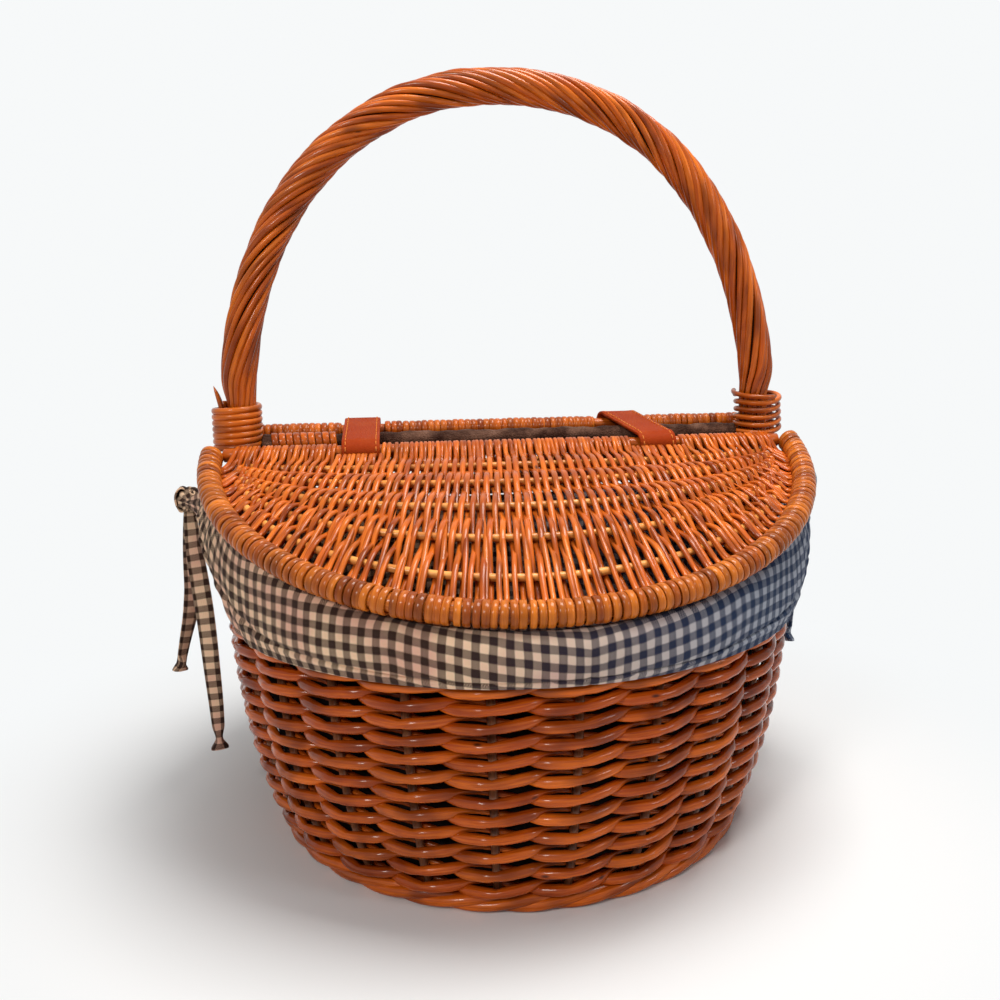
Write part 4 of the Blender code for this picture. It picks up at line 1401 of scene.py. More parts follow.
@dataclass
class WovenLid:
    """One lid: wrapped rim, hinge rod, curved ribs and the fan of weavers."""

    shape: LidShape
    body: Body
    weavers: int = 132
    weaver_half_width: float = 0.00150
    weaver_half_depth: float = 0.0010
    beads: int = 122
    hinge_beads: int = 0
    bead_depth: float = 0.0008
    fillers: int = 38
    strap_room: float = 0.0010
    stitch_height: float = 0.0004
    loop_rise: float = 0.0024

    @property
    def label(self) -> str:
        """The lid's name in the solids."""
        return self.body.value

    @property
    def loop_reach(self) -> float:
        """Outer radius of a leather loop round the hinge rod, with room past its stitches."""
        return SIZES.hinge_rod + SIZES.strap_slack + SIZES.strap_thickness + self.stitch_height

    def under_strap(self, x: float) -> bool:
        """Whether a place on the hinge rod lies in a leather loop.

        Args:
            x: The place along the hinge.

        Returns:
            True where a loop goes round the rod.
        """
        half = SIZES.strap_width / 2.0 + self.weaver_half_width + self.strap_room
        shift = -self.shape.side.value * SIZES.right_strap_skew
        slant = SIZES.right_strap_skew * self.loop_reach / SIZES.hinge_offset
        on_left = abs(x - SIZES.left_strap_place) < half
        return on_left or abs(x - SIZES.right_strap_place - shift) < half + slant

    def rib_line(self, index: int, turn: Array) -> tuple[Array, Array]:
        """Places along one rib.

        Args:
            index: The rib's number from the hinge, from 0.
            turn: Angles from the left end to the right.

        Returns:
            Places along the hinge and distances out from it.
        """
        half = self.shape.half_width - SIZES.lid_rim - SIZES.gap - 2.0 * SIZES.rib_radius
        middle = self.shape.reach * (index + 1) / (SIZES.rib_count + 1)
        return -half * np.cos(turn), middle * np.sin(turn)

    def rib_out(self, index: int, x: Array) -> Array:
        """How far out a rib lies at each x.

        Args:
            index: The rib's number from 0.
            x: Places along the hinge.

        Returns:
            Distances out, or 0 past the rib's ends.
        """
        half = self.shape.half_width - SIZES.lid_rim - SIZES.gap - 2.0 * SIZES.rib_radius
        middle = self.shape.reach * (index + 1) / (SIZES.rib_count + 1)
        return middle * np.sqrt(np.maximum(1.0 - (x / half) ** 2, 0.0))

    def rib_lift(self, x: Array, out: Array) -> Array:
        """Height of a rib's centre over the lid's plane.

        Args:
            x: Places along the hinge.
            out: Distances out.

        Returns:
            The heights.
        """
        under = SIZES.panel / 2.0 + SIZES.running_gap + SIZES.rib_radius
        return self.shape.dome(x, out) - under

    def build_ribs(self, finish: bpy.types.Material) -> None:
        """Round each rib.

        Args:
            finish: Their finish.
        """
        for i in range(SIZES.rib_count):
            end = SIZES.rib_end_angle + SIZES.rib_end_step * i
            turn = np.linspace(end, math.pi - end, 90)
            x, out = self.rib_line(i, turn)
            parts = MeshParts(seed=70 + i)
            points = self.shape.place(x, out, self.rib_lift(x, out))
            parts.add_rod(points, self.shape.normal, SIZES.rib_radius, SIZES.rib_radius, sides=10)
            node = f"{self.label}_rib_{i + 1}"
            settle(parts.build(f"{node}_rod", finish), self.body, Slot.LID, node)

    def weaver_path(self, hinge_x: float, rim_turn: float, start: float) -> tuple[Array, Array]:
        """Plan of a weaver from the hinge rod to the rim.

        Args:
            hinge_x: Where it leaves the hinge rod.
            rim_turn: Angle on the rim where it ends.
            start: Distance out at which it starts.

        Returns:
            Places along the hinge and distances out.
        """
        rim_x = self.shape.half_width * math.cos(rim_turn)
        rim_out = self.shape.reach * math.sin(rim_turn)
        span = math.hypot(rim_x - hinge_x, rim_out - start)
        arrive = np.array([math.cos(rim_turn), math.sin(rim_turn)])
        first = np.array([hinge_x, start])
        last = np.array([rim_x, rim_out])
        second = first + np.array([0.10 * (rim_x - hinge_x), 0.36 * span])
        third = last - 0.34 * span * unit(arrive + np.array([0.0, 0.5]))
        share = np.linspace(0.0, 1.0, 64)[:, None]
        curve = (1 - share) ** 3 * first + 3 * (1 - share) ** 2 * share * second
        curve = curve + 3 * (1 - share) * share**2 * third + share**3 * last
        return curve[:, 0], np.maximum(curve[:, 1], 0.0)

    def over_and_under(self, x: Array, out: Array, index: int) -> Array:
        """Height of a weaver over the lid's plane as it passes the ribs.

        Args:
            x: Places along the hinge.
            out: Distances out.
            index: The weaver's number, which sets the ribs that it passes over.

        Returns:
            The heights.
        """
        along = run_lengths(np.stack([x, out, np.zeros_like(x)], axis=1))
        reach = SIZES.rib_radius + self.weaver_half_depth + 0.0001
        spots = [0.0]
        sides = [0.45]
        for k in range(SIZES.rib_count):
            ahead = out - self.rib_out(k, x)
            crossing = np.nonzero((ahead[:-1] < 0.0) & (ahead[1:] >= 0.0))[0]
            if len(crossing):
                place = along[crossing[0]]
                if place - spots[-1] > 0.003:
                    apart = min((place - spots[-1]) / 0.011, 1.0)
                    spots.append(place)
                    sides.append(apart if (index + k) % 2 == 0 else -apart)
        spots.append(along[-1])
        sides.append(0.35)
        share = np.zeros_like(along)
        for a, b, low, high in zip(spots, spots[1:], sides, sides[1:]):
            part = (along >= a) & (along <= b)
            eased = smooth_step((along[part] - a) / max(b - a, 1e-6))
            share[part] = low + (high - low) * eased
        woven = self.rib_lift(x, out) + reach * share
        at_hinge = 1.0 - smooth_step((along - 0.002) / 0.013)
        at_rim = 1.0 - smooth_step((along[-1] - along) / 0.012)
        woven = woven + (SIZES.hinge_rod - self.weaver_half_depth - woven) * at_hinge
        return woven + (SIZES.hinge_rod * 0.4 - woven) * at_rim

    def sway(self, x: Array, out: Array, index: int) -> Array:
        """Sideways sway that closes and opens neighbouring weavers between the ribs.

        Args:
            x: Places along the hinge.
            out: Distances out.
            index: The weaver's number.

        Returns:
            Offsets along the hinge.
        """
        limit = self.shape.inner_reach(x, SIZES.lid_rim)
        share = np.clip(out / np.maximum(limit, 0.01), 0.0, 1.0)
        side = 1.0 if index % 2 == 0 else -1.0
        open_field = smooth_step((limit - 0.04) / 0.08)
        return side * 0.0006 * open_field * np.sin(math.pi * (SIZES.rib_count + 1) * share) * np.sin(math.pi * share) ** 0.4

    def build_weavers(self, finish: bpy.types.Material) -> None:
        """Lay the weavers and the short fillers at the rim.

        Args:
            finish: Their finish.
        """
        parts = MeshParts(seed=80 + self.shape.side.value)
        half = self.shape.half_width - 2.0 * SIZES.lid_rim
        for i in range(self.weavers):
            share = (i + 0.5) / self.weavers
            hinge_x = half * (2.0 * share - 1.0) + 0.0005 * parts.random.normal()
            rim_turn = math.pi * (0.035 + 0.93 * (1.0 - share)) + 0.003 * parts.random.normal()
            looped = self.under_strap(hinge_x)
            x, out = self.weaver_path(hinge_x, rim_turn, self.loop_reach + self.loop_rise if looped else 0.0)
            lift = self.over_and_under(x, out, i)
            x = x + self.sway(x, out, i)
            if not looped:
                x, out, lift = self.bend_over_rod(x, out, lift)
            points = self.shape.place(x, out, lift)
            bow = np.sin(math.pi * np.linspace(0.0, 1.0, len(x)))
            swell = 0.84 + 0.20 * parts.random.random() + 0.16 * bow
            outward = self.outward(out, lift)
            narrow = 0.80 + 0.20 * smooth_step(out / 0.03)
            wide, deep = self.weaver_half_width * swell * narrow, self.weaver_half_depth * swell
            parts.add_rod(points, outward, wide, deep, sides=8, squareness=0.85)
        self.add_fillers(parts)
        if self.hinge_beads:
            self.add_hinge_beads(parts, half)
        node = f"{self.label}_weave"
        settle(parts.build(f"{node}_rods", finish), self.body, Slot.LID, node)

    def add_fillers(self, parts: MeshParts) -> None:
        """Lay the short pointed rods between the weavers' outer ends.

        Args:
            parts: The weavers' mesh.
        """
        for i in range(self.fillers):
            share = (i + 0.5) / self.fillers
            rim_turn = math.pi * (0.10 + 0.80 * (1.0 - share)) + 0.006 * parts.random.normal()
            hinge_x = self.shape.half_width * math.cos(rim_turn) * 0.74
            x, out = self.weaver_path(hinge_x, rim_turn, 0.0)
            keep = slice(int(len(x) * 0.52), len(x))
            x, out = x[keep], out[keep]
            rib = self.rib_lift(x, out)
            taper = smooth_step(np.linspace(0.05, 2.2, len(x)))
            lift = rib + 0.0026 * np.sin(math.pi * np.linspace(0.1, 1.0, len(x)))
            end = smooth_step((np.linspace(1.0, 0.0, len(x))) / 0.2)
            points = self.shape.place(x, out, lift * end + (1.0 - end) * SIZES.hinge_rod * 0.4)
            parts.add_rod(points, self.shape.normal, 0.0014 * taper, 0.0009 * taper, sides=8)

    def bend_over_rod(self, x: Array, out: Array, lift: Array) -> tuple[Array, Array, Array]:
        """Lead a weaver round the back of the hinge rod before it runs out.

        Args:
            x: Places along the hinge.
            out: Distances out.
            lift: Heights over the lid's plane.

        Returns:
            The three runs with the bend in front.
        """
        radius = SIZES.hinge_rod - self.weaver_half_depth
        turn = np.linspace(1.35 * math.pi, 0.56 * math.pi, 14)
        keep = out > 0.0006
        x = np.concatenate([np.full(len(turn), x[0]), x[keep]])
        out = np.concatenate([radius * np.cos(turn), out[keep]])
        return x, out, np.concatenate([radius * np.sin(turn), lift[keep]])

    def outward(self, out: Array, lift: Array) -> Array:
        """Upper side of a weaver: away from the hinge rod on the bend, and square to the lid past it.

        Args:
            out: Distances out.
            lift: Heights over the lid's plane.

        Returns:
            Rows of directions.
        """
        past = smooth_step(out / 0.004)
        angle = np.arctan2(lift, np.minimum(out, 0.0) - 1e-6)
        along = np.array([0.0, self.shape.side.value * math.cos(self.shape.tilt), -math.sin(self.shape.tilt)])
        away = np.cos(angle)[:, None] * along + np.sin(angle)[:, None] * self.shape.normal
        return unit(away * (1.0 - past)[:, None] + self.shape.normal * past[:, None])

    def add_hinge_beads(self, parts: MeshParts, half: float) -> None:
        """Wrap the hinge rod in flat rings between the leather loops.

        Args:
            parts: The weavers' mesh.
            half: Half of the width that the rings take.
        """
        pitch = 2.0 * half / self.hinge_beads
        turn = 2.0 * math.pi * np.arange(20) / 20.0
        for i in range(self.hinge_beads):
            x = -half + pitch * (i + 0.5 + 0.06 * parts.random.normal())
            if self.under_strap(x):
                continue
            radius = SIZES.hinge_rod - 0.0002 - 0.0004 * parts.random.random()
            points = self.shape.place(np.full(20, x), radius * np.cos(turn), radius * np.sin(turn))
            centre = self.shape.place(np.full(20, x), np.zeros(20), 0.0)
            parts.add_rod(points, unit(points - centre), pitch * 0.46, 0.0009, sides=10, closed=True, squareness=0.8)

    def build_rods(self, hinge_finish: bpy.types.Material, rim_finish: bpy.types.Material) -> None:
        """Make the hinge rod and the wrapped rim.

        Args:
            hinge_finish: The hinge rod's finish.
            rim_finish: The rim's finish.
        """
        half = self.shape.half_width - SIZES.lid_rim - SIZES.gap
        parts = MeshParts(seed=91)
        x = np.linspace(-half, half, 60)
        parts.add_rod(self.shape.place(x, 0.0 * x), self.shape.normal, SIZES.hinge_rod - 0.0011, SIZES.hinge_rod - 0.0011, sides=16)
        node = f"{self.label}_hinge_rod"
        settle(parts.build(f"{node}_round", hinge_finish), self.body, Slot.LID, node)
        rim = MeshParts(seed=92)
        dense = np.linspace(0.0, math.pi, 1600)
        arc = self.shape.place(self.shape.half_width * np.cos(dense), self.shape.reach * np.sin(dense))
        core = resample(arc, 240)
        centre = self.shape.place(np.array(0.0), np.array(0.0))
        rim.add_rod(core, unit(core - centre), SIZES.lid_rim - 0.0019, SIZES.lid_rim - 0.0019, sides=16)
        self.add_beads(rim, arc)
        node = f"{self.label}_rim"
        settle(rim.build(f"{node}_wrap", rim_finish), self.body, Slot.LID, node)

    def add_beads(self, rim: MeshParts, arc: Array) -> None:
        """Wrap the rim in flat rings, slanted towards the corners.

        Args:
            rim: The rim's mesh.
            arc: Dense points along the rim's centre line.
        """
        lengths = run_lengths(arc)
        total = lengths[-1]
        tangents = unit(np.gradient(arc, axis=0))
        normal = self.shape.normal
        turn = 2.0 * math.pi * np.arange(28) / 28.0
        pitch = total / self.beads
        for i in range(self.beads):
            share = (i + 0.5) / self.beads
            centre_at = pitch * (i + 0.5 + 0.07 * rim.random.normal())
            corner = abs(2.0 * share - 1.0) ** 3
            slant = (0.0022 * corner + 0.0003 * rim.random.normal()) * (1.0 if share < 0.5 else -1.0)
            at = centre_at + slant * np.cos(turn)
            base = np.stack([np.interp(at, lengths, arc[:, k]) for k in range(3)], axis=1)
            along = unit(np.stack([np.interp(at, lengths, tangents[:, k]) for k in range(3)], axis=1))
            side = unit(np.cross(along, normal))
            direction = side * np.cos(turn)[:, None] + normal * np.sin(turn)[:, None]
            reach = SIZES.lid_rim - self.bead_depth - 0.0002 * rim.random.random()
            width = pitch * (0.455 + 0.02 * rim.random.normal())
            rim.add_rod(base + direction * reach, direction, width, self.bead_depth * 1.2, sides=10, closed=True, squareness=0.75)

    def build(self, finishes: Finishes) -> None:
        """Make the whole lid.

        Args:
            finishes: The basket's materials.
        """
        self.build_rods(finishes.lid, finishes.rim)
        self.build_ribs(finishes.rib)
        self.build_weavers(finishes.lid)


@dataclass
class HingeStrap:
    """Leather loop round both hinge rods and the bar, stitched along its edges."""

    name: str
    place: float
    skew: float
    front: LidShape
    rear: LidShape
    stitch_pitch: float = 0.0034

    def belt(self, radius: float, steps: int) -> tuple[Array, Array]:
        """Closed path of the loop in the plane square to the bar.

        Args:
            radius: Distance of the path from the hinge rods' axes.
            steps: Points round each end.

        Returns:
            Points as Y and Z, and outward directions.
        """
        first = self.front.place(np.array(0.0), np.array(0.0))
        last = self.rear.place(np.array(0.0), np.array(0.0))
        lean = math.atan2(last[2] - first[2], last[1] - first[1])
        points = []
        outs = []
        for end, centre in enumerate((last, first)):
            for i in range(steps + 1):
                turn = lean + math.pi * (i / steps - 0.5 + end)
                out = np.array([math.cos(turn), math.sin(turn)])
                points.append(centre[1:] + radius * out)
                outs.append(out)
            nxt = first if end == 0 else last
            final = lean + math.pi * (0.5 + end)
            out = np.array([math.cos(final), math.sin(final)])
            start = centre[1:] + radius * out
            stop = nxt[1:] + radius * out
            for share in np.linspace(0.0, 1.0, 12)[1:-1]:
                points.append(start + (stop - start) * share)
                outs.append(out)
        return np.array(points), np.array(outs)

    def along_bar(self, y: Array, side: float) -> Array:
        """Place along the bar, with the loop's skew.

        Args:
            y: Places from front to rear.
            side: Distance from the loop's middle line.

        Returns:
            Places along X.
        """
        return self.place + side - self.skew * y / SIZES.hinge_offset

    def build(self, leather: bpy.types.Material, thread: bpy.types.Material) -> None:
        """Make the loop and its stitches.

        Args:
            leather: The loop's finish.
            thread: The stitches' finish.
        """
        middle = SIZES.hinge_rod + SIZES.strap_slack + SIZES.strap_thickness / 2.0
        path, outs = self.belt(middle, 16)
        points = np.stack([self.along_bar(path[:, 0], 0.0), path[:, 0], path[:, 1]], axis=1)
        outward = np.stack([np.zeros(len(outs)), outs[:, 0], outs[:, 1]], axis=1)
        parts = MeshParts(seed=101)
        parts.add_rod(points, outward, SIZES.strap_width / 2.0, SIZES.strap_thickness / 2.0, sides=28, closed=True, squareness=0.32)
        settle(parts.build(f"{self.name}_loop", leather), Body.BASKET, Slot.LEATHER, self.name)
        seam = MeshParts(seed=102)
        total = run_lengths(points, closed=True)[-1]
        count = int(total / self.stitch_pitch)
        lengths = run_lengths(points, closed=True)
        looped = np.vstack([points, points[:1]])
        out_loop = np.vstack([outward, outward[:1]])
        for edge in (-1.0, 1.0):
            shift = np.array([edge * (SIZES.strap_width / 2.0 - 0.0021), 0.0, 0.0])
            for i in range(count):
                at = np.linspace(i + 0.16, i + 0.80, 6) * self.stitch_pitch
                base = np.stack([np.interp(at, lengths, looped[:, k]) for k in range(3)], axis=1)
                out = unit(np.stack([np.interp(at, lengths, out_loop[:, k]) for k in range(3)], axis=1))
                hump = SIZES.strap_thickness / 2.0 - 0.0001 + 0.0003 * np.sin(np.linspace(0.0, math.pi, 6))
                seam.add_rod(base + shift + out * hump[:, None], out, 0.00036, 0.00030, sides=6, tone=0.5)
        settle(seam.build(f"{self.name}_stitches", thread), Body.BASKET, Slot.LEATHER)


@dataclass
class Lining:
    """Gingham pouch and the two flaps turned over the rim border."""

    saddle: RimSaddle
    handle: TwistedHandle
    half_cloth: float = 0.0005
    bag_cut: float = 0.50
    flap_cut_width: float = 0.49
    flap_end_length: float = 0.112
    flap_middle_length: float = 0.062
    inner_overlap: float = -0.16
    seam_angle: float = 2.0 * math.pi - 1.46
    row_slope: float = 0.17
    row_slope_reach: float = 0.09

    def side_share(self, from_side: Array) -> Array:
        """How far a place belongs to the gathered end of a flap.

        Args:
            from_side: Angles from the handle's plane.

        Returns:
            Shares, 1 beside the handle.
        """
        return 1.0 - smooth_step((from_side - SIZES.slit_angle) / SIZES.gather_angle)

    def bag_radius(self, angle: Array, height: float) -> Array:
        """Radius of the pouch, inside the stakes and the legs.

        Args:
            angle: Angles round the basket.
            height: Height above the floor.

        Returns:
            The radii.
        """
        room = SIZES.wall + SIZES.stake_clearance + 2.0 * SIZES.stake_radius + SIZES.bag_clearance
        on_stakes = float(SIZES.bowl_radius(height)) - room - 0.0030
        past_leg = self.handle.leg_place(height) - SIZES.leg_foot_radius - 0.0030
        step = math.radians(6.0)
        from_side = np.arctan2(np.abs(np.sin(angle)), np.abs(np.cos(angle)))
        beside = 1.0 - smooth_step((from_side - step) / step)
        level = smooth_step(2.0 * height / (SIZES.leg_foot_height - SIZES.bag_clearance) - 1.0)
        return on_stakes + (min(past_leg, on_stakes) - on_stakes) * beside * level

    def build_bag(self, finish: bpy.types.Material, shade: bpy.types.Material) -> None:
        """Make the pouch with soft upright folds; its outer side is painted near black as deep shade.

        Args:
            finish: The cloth's finish.
            shade: The outer side's finish, a painted shade.
        """
        count = 480
        angle = 2.0 * math.pi * np.arange(count) / count
        floor = SIZES.base_thickness + 0.0016
        rows = []
        run = []
        for radius in np.linspace(0.004, float(self.bag_radius(np.array(1.0), floor)) - 0.004, 26):
            ripple = 0.0005 * np.sin(9.0 * angle + radius * 120.0) * (radius / 0.12)
            rows.append(around(np.full(count, radius), angle, floor + 0.0006 + ripple))
            run.append(radius)
        last = run[-1]
        for height in np.linspace(floor + 0.002, SIZES.bag_top, 40):
            share = (height - floor) / (SIZES.bag_top - floor)
            fold = 0.0011 * share * np.sin(46.0 * angle + 4.0 * np.sin(3.0 * angle)) + 0.0008 * np.sin(19.0 * angle + 9.0 * share)
            rows.append(around(self.bag_radius(angle, height) - 0.0015 + fold * 0.8, angle, height))
            run.append(last + height - floor)
        parts = MeshParts(seed=111)
        grid = np.stack(rows)
        across = np.linspace(0.0, 2.0 * math.pi * SIZES.bowl_foot_radius, count + 1)
        index = parts.add_grid(grid, np.array(run), across, 0.5, closed=False)
        parts.add_cap(index[0], np.array([0.0, 0.0, floor + 0.0006]), 0.5, flip=True)
        piece = parts.build("liner_bag_cloth", finish)
        self.thicken(piece)
        # Painted shade: the thickened sheet's outer side takes the near-black cloth, through the material offset below.
        piece.data.materials.append(shade)
        piece.modifiers["cloth thickness"].material_offset = 1
        settle(piece, Body.BASKET, Slot.CLOTH, "liner_bag")

    def thicken(self, piece: bpy.types.Object) -> None:
        """Give a sheet the cloth's thickness.

        Args:
            piece: The sheet.
        """
        thick = piece.modifiers.new("cloth thickness", "SOLIDIFY")
        thick.thickness = 2.0 * self.half_cloth
        thick.offset = 0.0

    def section(self, angle: Array) -> tuple[Array, Array]:
        """Sections of a flap at many angles.

        Args:
            angle: Angles round the basket.

        Returns:
            The points, as section places by angles by 3, and shares down the outside.
        """
        from_side = np.arctan2(np.abs(np.sin(angle)), np.abs(np.cos(angle)))
        side = self.side_share(from_side)
        height = self.saddle.height(angle)
        cloth = SIZES.fold_radius + SIZES.cloth / 2.0
        rows = []
        downs = []
        inner_radius = self.bag_radius(angle, SIZES.bag_top) - 0.0040
        stakes = SIZES.wall / 2.0 + SIZES.stake_clearance + 2.0 * SIZES.stake_radius + 2.0 * SIZES.gap + SIZES.cloth + 0.002
        inner_top = self.saddle.radius - stakes
        for share in np.linspace(self.inner_overlap, 1.0, 11)[:-1]:
            ripple = 0.0006 * np.sin(58.0 * angle) * (1.0 - share)
            radius = inner_radius + (inner_top - inner_radius) * share + ripple
            rows.append(around(radius, angle, SIZES.bag_top + (height - SIZES.inner_drop - SIZES.bag_top) * share))
            downs.append(0.0)
        for turn in np.linspace(math.pi, 0.0, 14):
            blend = smooth_step((math.pi - turn) / 1.2)
            radius = inner_top + (self.saddle.radius + cloth * math.cos(turn) - inner_top) * blend
            level = height + cloth * math.sin(turn) * blend - SIZES.inner_drop * (1.0 - blend)
            rows.append(around(radius, angle, level))
            downs.append(0.0)
        for share in np.linspace(0.0, 1.0, 44)[1:]:
            rows.append(self.skirt_row(angle, from_side, side, height, share))
            downs.append(share)
        return np.stack(rows), np.array(downs)

    def skirt_row(self, angle: Array, from_side: Array, side: Array, height: Array, share: float) -> Array:
        """One level of the outside of a flap.

        Args:
            angle: Angles round the basket.
            from_side: Angles from the handle's plane.
            side: Shares of the gathered ends.
            height: Heights of the border's centre.
            share: Place from the border, 0, to the hem, 1.

        Returns:
            The row's points.
        """
        side_hem = SIZES.tie_height - SIZES.tie_arm_half_height
        hem = SIZES.hem_height + (side_hem - SIZES.hem_height) * side**3
        top = height - SIZES.border_radius * share**0.5
        level = top + (hem - top) * share
        wall = SIZES.bowl_radius(level) + SIZES.hem_stand_off + SIZES.cloth / 2.0
        cloth = SIZES.fold_radius + SIZES.cloth / 2.0
        proud = (self.saddle.radius + cloth - wall) * (1.0 - share)
        bulge = SIZES.bulge + (SIZES.side_bulge - SIZES.bulge) * side
        belly = bulge * math.sin(math.pi * share) ** 0.7
        gather = smooth_step(1.0 - (from_side - SIZES.slit_angle) / 0.75)
        pleat = 0.0010 * gather * np.sin(58.0 * from_side - 7.0 * share + 1.2 * np.sin(9.0 * from_side))
        pleat = pleat + 0.0006 * gather * np.sin(131.0 * from_side + 4.0 * share)
        slack = 0.0007 * np.sin(11.0 * angle + 3.0 * share) * math.sin(math.pi * share)
        crease_at = 0.72 - 0.28 * side
        crease = -0.0011 * np.exp(-(((share - crease_at) / 0.035) ** 2)) + 0.0005 * np.exp(-(((share - crease_at - 0.07) / 0.04) ** 2))
        hem_edge = 0.0003 * np.exp(-(((share - 1.0) / 0.02) ** 2))
        crease = crease - 0.0011 * np.exp(-(((angle - self.seam_angle) / 0.008) ** 2))
        fade = min(share / 0.12, 1.0)
        radius = wall + proud + belly + (pleat * (0.4 + 0.6 * share) + slack + crease) * fade + hem_edge
        return around(radius, angle, level)

    def build_flap(self, name: str, side: Side, finish: bpy.types.Material) -> None:
        """Make one flap.

        Args:
            name: The flap's solid.
            side: Which side it lies on.
            finish: The cloth's finish.
        """
        edge = SIZES.slit_angle
        turn = np.linspace(edge, math.pi - edge, 620) + (math.pi if side is Side.FRONT else 0.0)
        grid, _ = self.section(turn)
        grid = np.swapaxes(grid, 0, 1)
        steps = np.cumsum(np.linalg.norm(np.diff(grid, axis=1), axis=2), axis=1)
        above_hem = steps[:, -1:] - np.pad(steps, ((0, 0), (1, 0)))
        hem_line = grid[:, -8]
        hem = run_lengths(hem_line)
        seam_at = float(np.interp(self.seam_angle, turn, hem)) if side is Side.FRONT else hem[-1] * 0.5
        parts = MeshParts(seed=121)
        parts.add_grid(grid, hem - seam_at, above_hem[0], 0.5, closed=False, ring=False)
        uv = parts.uvs[-1]
        a, b = above_hem[:-1], above_hem[1:]
        uv[:, 1] = np.stack([a[:, :-1], b[:, :-1], b[:, 1:], a[:, 1:]], axis=2).ravel()
        uv[:, 1] -= self.row_slope * np.minimum(np.abs(uv[:, 0]), self.row_slope_reach)
        piece = parts.build(f"{name}_cloth", finish)
        self.thicken(piece)
        settle(piece, Body.BASKET, Slot.CLOTH, name)

    def build(self, finish: bpy.types.Material, shade: bpy.types.Material) -> None:
        """Make the pouch and both flaps.

        Args:
            finish: The cloth's finish.
            shade: The finish of the pouch's outer side, a painted shade.
        """
        self.build_bag(finish, shade)
        self.build_flap("front_flap", Side.FRONT, finish)
        self.build_flap("rear_flap", Side.REAR, finish)


